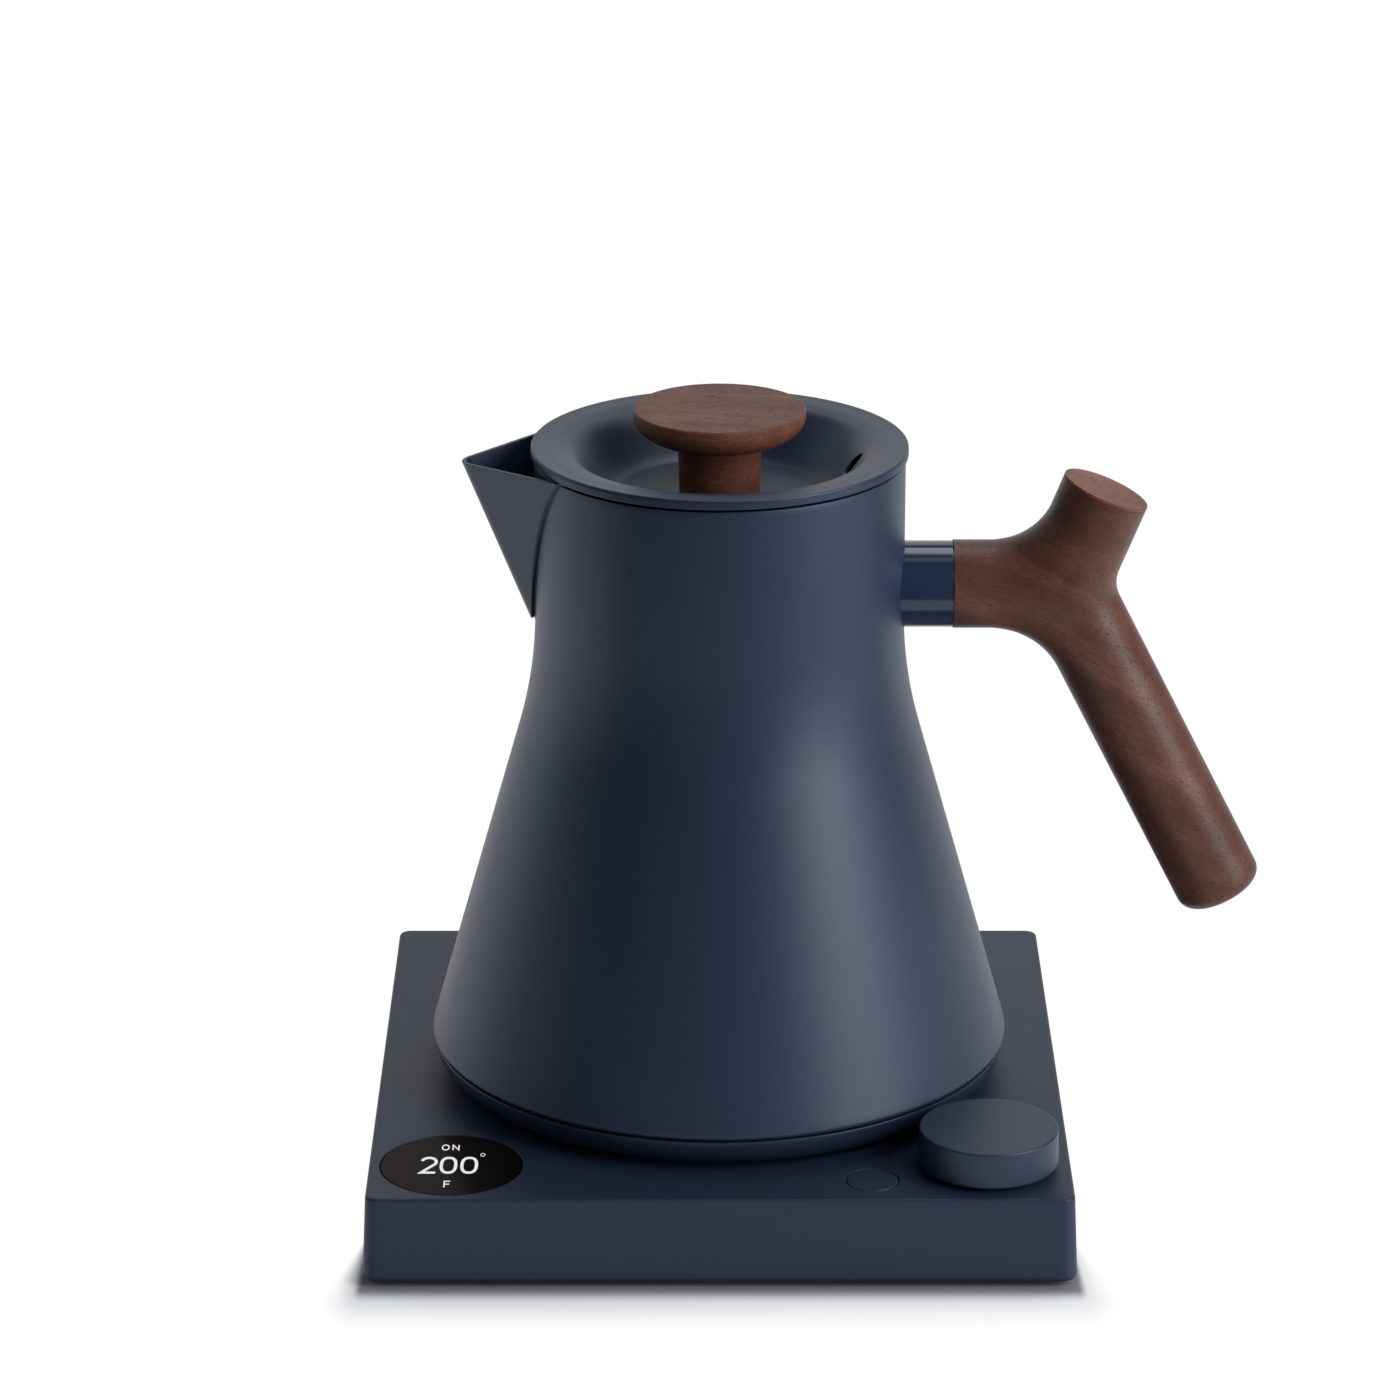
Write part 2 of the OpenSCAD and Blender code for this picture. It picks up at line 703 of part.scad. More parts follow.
module lid_outline() {
  radii = [for (i = [0 : bowl_steps]) bowl_floor_r + (bowl_r - bowl_floor_r) * i / bowl_steps];
  top = [for (r = radii) [r, bowl_height(r)]];
  under = [for (i = [bowl_steps : -1 : 0]) [radii[i], bowl_height(radii[i]) - lid_t]];
  polygon(concat([[0, bowl_z]], top,
    [[lid_r - 0.9, lid_top], [lid_r, lid_top - 0.5], [lid_r, lid_z],
     [lid_r - lid_t, lid_z], [lid_r - lid_t, lid_top - lid_t - 0.4]],
    under, [[0, bowl_z - lid_t]]));
}

module lid_shell() {
  color(navy) difference() {
    rotate_extrude() lid_outline();
    translate([bowl_floor_r, 0, bowl_height(vent_x)]) rotate([0, 90, 0])
      cylinder(h = bowl_r - 1.5 - bowl_floor_r, r = vent_r, $fn = 48);
    translate([0, 0, bowl_z - 5]) cylinder(h = 10, r = insert_r + fit, $fn = 48);
  }
}

// Cup under the lid that goes into the neck and carries the gasket
module lid_liner() {
  color(dark_navy) difference() {
    union() {
      translate([0, 0, liner_z]) cylinder(h = lid_z - liner_z, r = liner_r);
      translate([0, 0, gasket_z - 1.6 - fit]) cylinder(h = 1.6, r = liner_r + gasket_flange);
      translate([0, 0, gasket_z + gasket_h + fit]) cylinder(h = 1.6, r = liner_r + gasket_flange);
    }
    translate([0, 0, liner_z + liner_plate_t]) cylinder(h = big, r = liner_r - liner_t);
    translate([0, 0, liner_z - 1]) cylinder(h = 10, r = knob_screw_r + 0.2, $fn = 32);
    translate([vent_x, 0, liner_z - 1]) cylinder(h = 10, r = vent_r, $fn = 48);
  }
}

module lid_gasket() {
  color(rubber) ring(gasket_z, gasket_h, neck_in - fit, liner_r + fit);
}

// Mushroom knob: flat top, bowl-shaped underside, tapered stem
module knob_outline() {
  curve = [for (i = [0 : knob_steps]) let (a = 90 - 90 * i / knob_steps)
    [stem_top_r + (knob_r - stem_top_r) * cos(a), cup_z + cup_h * (1 - sin(a))]];
  polygon(concat([[0, knob_foot], [stem_r, knob_foot]], curve,
    [[knob_r, knob_top - 0.4], [knob_r - 0.4, knob_top], [0, knob_top]]));
}

module lid_knob() {
  color(walnut) difference() {
    rotate_extrude() knob_outline();
    translate([0, 0, knob_foot - 1]) cylinder(h = 1 + insert_h, r = insert_r + fit, $fn = 48);
  }
}

module knob_insert() {
  color(brass) ring(bowl_z - lid_t + fit, insert_h, insert_r, knob_screw_r + fit);
}

module knob_screw() {
  color(steel) translate([0, 0, liner_z - 1.5 - fit]) {
    cylinder(h = 1.5, r = 4, $fn = 48);
    cylinder(h = insert_h + 2, r = knob_screw_r, $fn = 32);
  }
}

module lid_washer() {
  color(steel) ring(liner_z + liner_plate_t + fit, washer_t, 8, knob_screw_r + fit);
}

// ---- Base ----------------------------------------------------------------

module base_housing() {
  inner_top = half_top - base_wall;
  color(navy) difference() {
    union() {
      difference() {
        draft_block(half_top + base_draft, half_top, base_corner_r, foot_h, base_top, base_edge);
        draft_block(inner_top + base_draft, inner_top, base_corner_r, foot_h - 1, plate_under, 0);
      }
      at_each(base_bosses) translate([0, 0, cover_top + seat])
        cylinder(h = plate_under - cover_top, r = boss_r);
    }
    at_each(base_bosses) translate([0, 0, cover_top]) cylinder(h = screw_l - 1, r = screw_bore_r, $fn = 32);
    translate([0, 0, plate_under - 1]) cylinder(h = 10, r = hub_r + gap);
    for (a = socket_screw_angles) translate(concat(polar(socket_screw_path, a), [plate_under - 1]))
      cylinder(h = 1 + base_plate * 0.7, r = tap_r, $fn = 32);
    at_each([display_at]) {
      translate([0, 0, glass_under - fit]) cylinder(h = 10, r = display_r + 0.25);
      translate([0, 0, plate_under - 1]) cylinder(h = 10, r = display_r - ledge);
    }
    at_each([dial_at]) translate([0, 0, plate_under - 1]) cylinder(h = 10, r = bush_r + gap);
    at_each([button_at]) translate([0, 0, plate_under - 1]) cylinder(h = 10, r = button_r + 0.2);
    translate([0, half_top - 10, cord_z]) rotate([-90, 0, 0]) cylinder(h = 30, r = gland_r);
  }
}

module base_bottom() {
  clamp_pad = clamp_z - cover_top;
  color(black) difference() {
    union() {
      translate([-cover_half, -cover_half, foot_h]) cube([2 * cover_half, 2 * cover_half, base_cover_t]);
      at_each(board_posts) translate([0, 0, cover_top - eps]) cylinder(h = board_z - cover_top, r = post_r);
      at_each(power_posts) translate([0, 0, cover_top - eps]) cylinder(h = power_post_h, r = post_r);
      translate([-clamp_l / 2, clamp_y - clamp_w / 2, cover_top - eps]) cube([clamp_l, clamp_w, clamp_pad]);
    }
    at_each(base_bosses) {
      translate([0, 0, foot_h - 1]) cylinder(h = 1 + screw_head_h + seat, r = screw_head_r + 0.2, $fn = 48);
      translate([0, 0, foot_h - 1]) cylinder(h = 10, r = screw_bore_r + 0.2, $fn = 32);
    }
    at_each(board_posts) translate([0, 0, cover_top - 1]) cylinder(h = 10, r = post_bore_r, $fn = 32);
    at_each(power_posts) translate([0, 0, cover_top - 1]) cylinder(h = 10, r = post_bore_r, $fn = 32);
    at_each(clamp_screws_at) translate([0, 0, cover_top - 1]) cylinder(h = 20, r = post_bore_r, $fn = 32);
    at_each(feet_at) translate([0, 0, foot_h - 1]) cylinder(h = 1 + foot_recess, r = foot_r + 0.1);
    for (side = [-1, 1], x = slot_places) translate([side * x - slot_w / 2, -slot_l / 2, foot_h - 1])
      cube([slot_w, slot_l, 10]);
    for (x = [-cover_half, cover_half], y = [-cover_half, cover_half]) translate([x, y, foot_h])
      cube([corner_notch, corner_notch, 10], center = true);
  }
}

module base_feet() {
  color(rubber) at_each(feet_at) cylinder(h = foot_h + foot_recess - fit, r = foot_r);
}

module base_screws() {
  color(steel) at_each(base_bosses) translate([0, 0, foot_h + 0.1]) {
    cylinder(h = screw_head_h - fit, r = screw_head_r, $fn = 48);
    cylinder(h = screw_l, r = screw_r, $fn = 32);
  }
}

// Round socket that stands up through the base top
module base_connector() {
  color(black) difference() {
    union() {
      translate([0, 0, hub_flange_z]) cylinder(h = plate_under - hub_flange_z - fit, r = hub_flange_r);
      translate([0, 0, hub_flange_z]) cylinder(h = hub_top - hub_flange_z, r = hub_r);
    }
    for (r = ring_paths) ring(groove_z, big, r + groove_w / 2, r - groove_w / 2);
    translate([0, 0, groove_z]) cylinder(h = big, r = pin_r + fit);
    for (p = contact_tabs) translate([p[0], p[1], 0]) cylinder(h = big, r = 0.85, $fn = 24);
    for (a = socket_screw_angles) translate(concat(polar(socket_screw_path, a), [0]))
      cylinder(h = big, r = 1.4, $fn = 32);
  }
}

module socket_contacts() {
  color(copper) {
    for (r = ring_paths) ring(groove_z, contact_t, r + groove_w / 2 - fit, r - groove_w / 2 + fit);
    translate([0, 0, groove_z]) cylinder(h = contact_t, r = pin_r);
    for (p = contact_tabs) translate([p[0], p[1], tab_z])
      cylinder(h = groove_z - tab_z + contact_t / 2, r = 0.8, $fn = 24);
  }
}

module base_connector_screws() {
  head_h = 1.2;
  color(steel) for (a = socket_screw_angles)
    translate(concat(polar(socket_screw_path, a), [hub_flange_z - head_h - fit])) {
      cylinder(h = head_h, r = 2.2, $fn = 48);
      cylinder(h = 5.4, r = small_screw_r, $fn = 32);
    }
}

// ---- Display, controls and boards ----------------------------------------

module display_glass() {
  color(black) translate([display_at[0], display_at[1], glass_under]) cylinder(h = display_t, r = display_r);
}

module display_module() {
  module_r = display_r - ledge - 0.25;
  body_z = part_z + 4;
  color(dark_grey) translate([display_at[0], display_at[1], 0]) {
    translate([0, 0, body_z]) cylinder(h = glass_under - seat - body_z, r = module_r);
    for (a = [45 : 90 : 315]) translate(concat(polar(module_r - 5, a), [part_z]))
      cylinder(h = body_z - part_z + eps, r = 1.5, $fn = 32);
  }
}

module control_board() {
  color(board_green) difference() {
    translate([-board_half, board_front, board_z + fit])
      cube([2 * board_half, board_back - board_front, board_t - fit]);
    at_each(board_posts) translate([0, 0, board_z - 1]) cylinder(h = 5, r = board_hole_r, $fn = 32);
  }
}

module board_screws() {
  color(steel) {
    at_each(board_posts) small_screw(board_top);
    at_each(power_posts) small_screw(power_z + board_t);
  }
}

module small_screw(seat_z) {
  translate([0, 0, seat_z + fit]) cylinder(h = 1, r = 2, $fn = 48);
  translate([0, 0, seat_z - board_t - 1.8]) cylinder(h = board_t + 2, r = 1, $fn = 32);
}

module encoder_body() {
  color(grey) translate([dial_at[0], dial_at[1], 0]) difference() {
    union() {
      translate([-encoder_w / 2, -encoder_w / 2, part_z]) cube([encoder_w, encoder_w, encoder_top - part_z]);
      translate([0, 0, encoder_top - 1]) cylinder(h = base_top - 0.7 - encoder_top + 1, r = bush_r, $fn = 48);
    }
    translate([0, 0, rotor_z]) cylinder(h = rotor_top - rotor_z, r = rotor_r + fit);
    translate([0, 0, rotor_z]) cylinder(h = big, r = shaft_r + 0.1, $fn = 48);
  }
}

module encoder_rotor() {
  color(brass) translate([dial_at[0], dial_at[1], 0])
    ring(rotor_z + 0.2, rotor_top - rotor_z - 0.4, rotor_r, shaft_r + fit);
}

module encoder_shaft() {
  color(steel) translate([dial_at[0], dial_at[1], rotor_z + dial_travel + 0.5])
    cylinder(h = dial_top - 2.3 - rotor_z - dial_travel - 0.5, r = shaft_r, $fn = 48);
}

module dial_knob() {
  edge = 0.4;
  foot_r = dial_r + dial_flare;
  rim_t = 2.4;
  recess = 2.6;
  hub = 5;
  color(dark_navy) translate([dial_at[0], dial_at[1], 0]) difference() {
    rotate_extrude()
      polygon([[0, dial_z], [foot_r - edge, dial_z], [foot_r, dial_z + edge],
               [dial_r, dial_top - edge], [dial_r - edge, dial_top], [0, dial_top]]);
    ring(dial_z - 1, recess + 1, dial_r - rim_t, hub);
    translate([0, 0, dial_z - 1]) cylinder(h = dial_h - 1, r = shaft_r + fit, $fn = 48);
  }
}

module button_cap() {
  flange_z = plate_under - button_travel - button_flange + 0.5;
  color(dark_navy) translate([button_at[0], button_at[1], 0]) {
    translate([0, 0, flange_z]) cylinder(h = base_top - flange_z, r = button_r);
    translate([0, 0, flange_z]) cylinder(h = button_flange - 0.2, r = button_r + 0.9);
    translate([0, 0, switch_top + button_travel + 0.2])
      cylinder(h = flange_z - switch_top - button_travel, r = 1.8, $fn = 48);
  }
}

module button_switch() {
  color(black) translate([button_at[0] - 3, button_at[1] - 3, part_z]) cube([6, 6, switch_top - part_z]);
}

module buzzer() {
  color(black) translate([0, (board_front + board_back) / 2, 0]) difference() {
    translate([0, 0, part_z]) cylinder(h = 6, r = 6);
    translate([0, 0, part_z + 4]) cylinder(h = 5, r = 1, $fn = 32);
  }
}

module power_board() {
  color(board_green) difference() {
    translate(concat(power_board_at, [power_z + fit])) cube(concat(power_board_size, [board_t - fit]));
    at_each(power_posts) translate([0, 0, power_z - 1]) cylinder(h = 5, r = board_hole_r, $fn = 32);
  }
}

module transformer() {
  inset = (transformer_size - winding_size) / 2;
  color(winding) translate(concat(transformer_at, [power_top])) {
    cube(transformer_size);
    translate([inset[0], inset[1], transformer_size[2] - 1]) cube(winding_size);
  }
}

module relay() {
  color(relay_blue) translate(concat(relay_at, [power_top])) cube(relay_size);
}

module capacitor() {
  color(dark_grey) translate(concat(capacitor_at, [power_top])) cylinder(h = capacitor_h, r = capacitor_r);
}

module terminal_block() {
  middle = terminal_size / 2;
  color(terminal_green) translate(concat(terminal_at, [power_top])) difference() {
    cube(terminal_size);
    for (k = [-1 : 1]) translate([middle[0], middle[1] + k * terminal_pitch, middle[2]])
      cylinder(h = terminal_size[2], r = 1.4, $fn = 32);
  }
}

// Bush in the rear wall that the mains cord passes through
module cord_gland() {
  lip = 1.2;
  nut = 2.6;
  color(rubber) translate([0, 0, cord_z]) rotate([-90, 0, 0]) difference() {
    union() {
      translate([0, 0, gland_in]) cylinder(h = gland_y + lip / 2 - gland_in, r = gland_r - fit);
      translate([0, 0, gland_y]) cylinder(h = lip, r = gland_grip_r);
      translate([0, 0, gland_in]) cylinder(h = nut, r = gland_grip_r);
    }
    translate([0, 0, half_top - 20]) cylinder(h = 40, r = cord_r);
  }
}

module cord_clamp() {
  color(black) difference() {
    translate([-clamp_l / 2, clamp_y - clamp_w / 2, clamp_z + fit]) cube([clamp_l, clamp_w, clamp_h]);
    translate([0, clamp_y - clamp_w, cord_z]) rotate([-90, 0, 0]) cylinder(h = 2 * clamp_w, r = cord_r);
    at_each(clamp_screws_at) cylinder(h = big, r = 1.3, $fn = 32);
  }
}

module clamp_screws() {
  clamp_top = clamp_z + clamp_h + fit;
  color(steel) at_each(clamp_screws_at) {
    translate([0, 0, clamp_top + fit]) cylinder(h = 1.2, r = 2.2, $fn = 48);
    translate([0, 0, cover_top]) cylinder(h = clamp_top - cover_top + 1, r = 1, $fn = 32);
  }
}

// Flat cable from the control board to the power board
module ribbon_cable() {
  w = 12;
  t = 0.9;
  x = -34;
  y0 = board_back - 6;
  down = board_back + 2;
  up = power_board_at[1] - 5;
  y1 = power_board_at[1] + 3.5;
  low = cover_top + 0.6;
  color(grey) translate([x, 0, 0]) rotate([90, 0, 90]) linear_extrude(w)
    polygon([[y0, part_z], [down + t, part_z], [down + t, low + t], [up - t, low + t],
             [up - t, power_top + t], [y1, power_top + t], [y1, power_top], [up, power_top],
             [up, low], [down, low], [down, part_z - t], [board_back + fit, part_z - t],
             [board_back + fit, part_z - seat], [y0, part_z - seat + fit]]);
}

// Three leads from the power board to the socket's contacts
module base_leads() {
  lead_r = 0.9;
  pitch = 3;
  end_y = power_board_at[1] + 3;
  z = tab_z - lead_r - fit;
  color(copper) for (k = [0 : 2]) {
    from_y = contact_tabs[k][1];
    x = (k - 1) * pitch;
    translate([x, from_y, z]) rotate([-90, 0, 0]) cylinder(h = end_y - from_y, r = lead_r, $fn = 24);
    translate([min(x, 0) - 0.2, from_y, z]) rotate([0, 90, 0]) cylinder(h = abs(x) + 0.4, r = lead_r, $fn = 24);
    translate([x, end_y, power_top]) cylinder(h = z - power_top + lead_r, r = lead_r, $fn = 24);
  }
}

kettle_shell();
spout();
kettle_floor();
heat_plate();
heating_element();
thermal_cutout();
temperature_probe();
probe_seal();
bottom_cover();
kettle_connector();
connector_rings();
kettle_connector_screws();
bottom_screws();
kettle_leads();
handle_ferrule();
handle_stud();
handle_grip();
counterweight();
stub_cap();
contact_pin();
lid_gasket();
lid_shell();
lid_liner();
lid_knob();
knob_insert();
knob_screw();
lid_washer();
base_housing();
base_bottom();
base_feet();
base_screws();
base_connector();
socket_contacts();
base_connector_screws();
display_glass();
display_module();
control_board();
board_screws();
encoder_body();
button_switch();
buzzer();
power_board();
transformer();
relay();
capacitor();
terminal_block();
cord_gland();
cord_clamp();
clamp_screws();
ribbon_cable();
base_leads();
encoder_rotor();
dial_knob();
encoder_shaft();
button_cap();
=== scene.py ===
"""Finishes an electric pour-over kettle and its heating base.

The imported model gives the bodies, their joints and every inner part.  Each
operator below makes one visible piece, or one group of like pieces, in
metres and in the same frame: +Z up, +X towards the handle, the origin on the
table under the middle of the base.
"""

import math

import bmesh
import bpy
import numpy as np
from mathutils import Matrix, Vector
from mathutils.geometry import tessellate_polygon


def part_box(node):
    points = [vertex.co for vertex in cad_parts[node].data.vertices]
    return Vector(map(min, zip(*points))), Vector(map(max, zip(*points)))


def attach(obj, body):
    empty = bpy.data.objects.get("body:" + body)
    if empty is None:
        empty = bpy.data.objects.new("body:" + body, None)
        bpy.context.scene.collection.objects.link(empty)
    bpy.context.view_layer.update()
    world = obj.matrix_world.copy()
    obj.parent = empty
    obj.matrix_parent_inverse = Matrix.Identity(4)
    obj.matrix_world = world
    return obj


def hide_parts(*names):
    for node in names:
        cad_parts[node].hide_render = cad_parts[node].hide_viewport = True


bl_info = {
    "name": "Pour-over kettle finish",
    "version": (1, 0, 0),
    "blender": (4, 5, 0),
    "location": "3D View > Sidebar > Kettle",
    "description": "Makes the visible surfaces of the kettle and its heating base",
    "category": "Object",
}

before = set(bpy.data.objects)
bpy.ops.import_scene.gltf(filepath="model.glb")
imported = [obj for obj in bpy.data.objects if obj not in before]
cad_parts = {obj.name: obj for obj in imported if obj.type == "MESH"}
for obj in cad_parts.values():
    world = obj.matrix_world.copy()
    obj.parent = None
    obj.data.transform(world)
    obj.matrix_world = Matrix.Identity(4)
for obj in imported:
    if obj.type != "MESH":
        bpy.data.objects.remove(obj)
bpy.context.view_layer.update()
SHELL_LOW, SHELL_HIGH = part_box("kettle_shell")
HOUSING_LOW, HOUSING_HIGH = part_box("base_housing")
_, LID_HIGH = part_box("lid_shell")
KNOB_LOW, KNOB_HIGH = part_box("lid_knob")
DIAL_LOW, DIAL_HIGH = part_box("dial_knob")
GLASS_LOW, GLASS_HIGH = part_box("display_glass")
BUTTON_LOW, BUTTON_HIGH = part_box("button_cap")
FERRULE_LOW, FERRULE_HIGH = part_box("handle_ferrule")
ARM_Z = (FERRULE_LOW.z + FERRULE_HIGH.z) / 2
MM = 0.001
QUARTER = math.pi / 2
ON_AXIS = 1e-7  # radius under which an outline's point is on its axis
BRIM = 5.5 * MM  # how far the soft brim of the lid's bowl reaches past its edge
SHELL_INPUTS = ("Low", "Rim", "Body Radius", "Neck Radius", "Flare", "Blend Radius", "Edge Radius", "Lip")


# ---- Sizes and colours a user may change ---------------------------------


def length(name, description, millimetres):
    """A length property, kept in metres."""
    return bpy.props.FloatProperty(
        name=name, description=description, default=millimetres * MM, min=0.0, precision=5,
        subtype="DISTANCE", unit="LENGTH",
    )


def colour(name, description, value):
    """A colour property, in linear values."""
    return bpy.props.FloatVectorProperty(
        name=name, description=description, default=value, size=3, min=0.0, max=1.0, subtype="COLOR"
    )


def turn(name, description, degrees):
    """An angle property."""
    return bpy.props.FloatProperty(
        name=name, description=description, default=math.radians(degrees), subtype="ANGLE", unit="ROTATION"
    )


class BodySizes(bpy.types.PropertyGroup):
    """Sizes of the kettle's steel body and beak"""

    body_r: length("Body radius", "Radius where the flare would meet the lower edge", 72.4)
    neck_r: length("Neck radius", "Radius of the straight neck", 45.3)
    flare: turn("Flare", "Slope of the body from the vertical", 15.8)
    blend_r: length("Neck blend", "Radius of the blend between body and neck", 112)
    edge_r: length("Lower edge", "Radius of the rolled lower edge", 1.1)
    wall: length("Wall", "Thickness of the steel", 0.9)
    lip: length("Lip", "Width of the lip turned in at the lower edge", 2)
    hole_r: length("Pouring hole", "Radius of one pouring hole", 1.8)
    hole_top: length("Top holes", "Height of the top row of pouring holes", 165.3)
    hole_rise: length("Hole rows", "Distance between rows of pouring holes", 6)
    hole_step: turn("Hole step", "Angle between two holes of a row", 6.5)
    beak_reach: length("Beak reach", "Distance of the beak's sharp line from the axis, at its tip", 65)
    beak_drop: length("Beak drop", "How far the tip lies below the rim", 1.45)
    beak_lean: turn("Beak lean", "Lean of the beak's front edge", 22.2)
    beak_bend: length("Beak bend", "Radius of the fold along the front edge", 5)
    beak_wall: length("Beak sheet", "Thickness of the beak's sheet", 1)
    weld_w: length("Weld width", "Width of the recess along the beak's weld", 0.95)
    weld_d: length("Weld depth", "Depth of the recess along the beak's weld", 0.8)


class HandleSizes(bpy.types.PropertyGroup):
    """Sizes of the ferrule and the branching handle"""

    joint_x: length("Joint", "Distance from the axis to where the branches meet", 84.6)
    bar_r: length("Bar radius", "Radius of the arm and the grip", 10.83)
    stub_r: length("Stub radius", "Radius of the short upper branch", 10.9)
    grip_lean: turn("Grip lean", "Lean of the grip, going down", 27)
    grip_len: length("Grip length", "Length of the grip from the joint", 91)
    grip_end: length("Grip end", "Radius of the rounded edge at the grip's end", 3.5)
    stub_lean: turn("Stub lean", "Lean of the upper branch", 21.9)
    stub_len: length("Stub length", "Length of the upper branch with its cap", 26.2)
    cap_t: length("Cap", "Thickness of the upper branch's end cap", 0.8)
    stub_fillet: length("Upper fillet", "Radius between arm and upper branch", 16)
    grip_fillet: length("Lower fillet", "Radius between arm and grip", 19.5)
    crotch: length("Crotch", "Softness of the corner between the branches", 3.2)
    voxel: length("Mesh size", "Edge length of the handle's mesh", 0.75)


class LidSizes(bpy.types.PropertyGroup):
    """Sizes of the lid and its knob"""

    rim_r: length("Rim radius", "Radius of the lid", LID_HIGH.y / MM)
    bowl_r: length("Bowl radius", "Radius where the lid starts to dip", 37.5)
    bowl_floor_r: length("Bowl floor", "Radius of the flat floor of the bowl", 24.5)
    sheet: length("Sheet", "Thickness of the lid's sheet", 0.9)
    vent_r: length("Vent", "Radius of the steam vent", 2.9)
    vent_x: length("Vent place", "Distance of the steam vent from the axis", 32.2)
    seam_down: length("Seam place", "Height of the rim's seam below its top", 0.55)
    knob_r: length("Knob radius", "Radius of the knob's flat top", 21)
    stem_r: length("Stem radius", "Radius of the knob's stem at its foot", 9.85)


class BaseSizes(bpy.types.PropertyGroup):
    """Sizes of the heating base and its controls"""

    corner_at: length("Corner centre", "Distance of the corners' centres from the middle", 82)
    draft: length("Draft", "How far each side leans out to the bottom", 1)
    wall: length("Wall", "Thickness of the side walls", 2.2)
    plate: length("Plate", "Thickness of the top", 2.4)
    top_edge: length("Top edge", "Radius of the top edge", 0.7)
    low_edge: length("Bottom edge", "Radius of the bottom edge", 1.4)
    hole_edge: length("Hole edge", "Radius of the edge of the holes in the top", 0.22)
    hub_r: length("Hub hole", "Radius of the hole for the socket", 19.3)
    gap: length("Glass gap", "Gap around the display glass", 0.25)


class Finishes(bpy.types.PropertyGroup):
    """Colours of the kettle's finishes"""

    coat: colour("Coat", "Matt powder coat of the kettle", (0.0132, 0.0217, 0.0465))
    gloss: colour("Gloss", "Smooth lacquer of the ferrule", (0.016, 0.026, 0.056))
    housing: colour("Housing", "Moulded plastic of the base", (0.0135, 0.0225, 0.0460))
    skirt: colour("Skirt", "Moulded cover under the kettle", (0.0110, 0.0175, 0.0360))
    wood_light: colour("Light wood", "Lightest bands of the walnut", (0.262, 0.104, 0.062))
    wood_mid: colour("Middle wood", "Middle tone of the walnut", (0.118, 0.044, 0.028))
    wood_dark: colour("Dark wood", "Dark bands and pores of the walnut", (0.030, 0.011, 0.008))
    readout: colour("Readout", "Lit signs of the display", (0.86, 0.86, 0.88))


# ---- Node trees ----------------------------------------------------------


class Value:
    """The output of a node, which takes part in sums as a number does."""

    def __init__(self, socket):
        self.socket = socket

    def __add__(self, other):
        return maths("ADD", self, other)

    def __sub__(self, other):
        return maths("SUBTRACT", self, other)

    def __rsub__(self, other):
        return maths("SUBTRACT", other, self)

    def __mul__(self, other):
        return maths("MULTIPLY", self, other)

    def __truediv__(self, other):
        return maths("DIVIDE", self, other)

    __radd__ = __add__
    __rmul__ = __mul__


def new_node(tree, kind, inputs=None, **settings):
    """Adds a node, makes its own settings, and sets its inputs or links them to values."""
    made = tree.nodes.new(kind)
    for key, value in settings.items():
        setattr(made, key, value)
    for key, value in (inputs or {}).items():
        if isinstance(value, Value):
            tree.links.new(value.socket, made.inputs[key])
        else:
            made.inputs[key].default_value = value
    return made


def output(tree, kind, key=0, inputs=None, **settings):
    """Adds a node; returns one of its outputs."""
    return Value(new_node(tree, kind, inputs, **settings).outputs[key])


def home(*values):
    """The tree that the first node output among values is in."""
    return next(value.socket.id_data for value in values if isinstance(value, Value))


def maths(operation, *values, clamp=False):
    """One math node over numbers and values."""
    return output(
        home(*values), "ShaderNodeMath", 0, dict(enumerate(values)), operation=operation, use_clamp=clamp
    )


def clamped(value):
    """A value kept from 0 to 1 by its own node."""
    value.socket.node.use_clamp = True
    return value


def mixed(share, a, b):
    """A mix of two colours, by the inputs and the output that the node keeps for colours."""
    return output(home(share), "ShaderNodeMix", 2, {0: share, 6: a, 7: b}, data_type="RGBA")


def noise(vector, scale, detail, rough=0.5, distortion=0.0):
    """Noise from 0 to 1."""
    return output(
        home(vector), "ShaderNodeTexNoise", "Fac",
        {"Vector": vector, "Scale": scale, "Detail": detail, "Roughness": rough, "Distortion": distortion},
    )


def scaled(vector, factors):
    """A vector times another, part by part."""
    return output(home(vector), "ShaderNodeVectorMath", 0, {0: vector, 1: factors}, operation="MULTIPLY")


def combined(x=0.0, y=0.0, z=0.0):
    """A vector from three numbers or values."""
    return output(home(x, y, z), "ShaderNodeCombineXYZ", 0, {"X": x, "Y": y, "Z": z})


def parted(vector):
    """The three parts of a vector."""
    node = new_node(home(vector), "ShaderNodeSeparateXYZ", {0: vector})
    return [Value(socket) for socket in node.outputs]


def in_object(tree):
    """Object coordinates."""
    return output(tree, "ShaderNodeTexCoord", "Object")


def bumped(height, strength=1.0):
    """The normal that a height in metres gives."""
    return output(
        home(height), "ShaderNodeBump", "Normal", {"Height": height, "Distance": 1.0, "Strength": strength}
    )


def open_tree(tree, inputs):
    """Gives a tree its named inputs, each of the kind of its first value; returns them."""
    kinds = {tuple: "NodeSocketColor", float: "NodeSocketFloat", int: "NodeSocketInt"}
    for title, value in inputs.items():
        socket = tree.interface.new_socket(
            name=title, in_out="INPUT", socket_type=kinds.get(type(value), "NodeSocketVector")
        )
        if value is not None:
            socket.default_value = value
    return {socket.name: Value(socket) for socket in tree.nodes.new("NodeGroupInput").outputs}


# ---- Materials -----------------------------------------------------------

FINISH_OUTPUTS = {
    "Colour": ("NodeSocketColor", "Base Color"),
    "Roughness": ("NodeSocketFloat", "Roughness"),
    "Normal": ("NodeSocketVector", "Normal"),
}


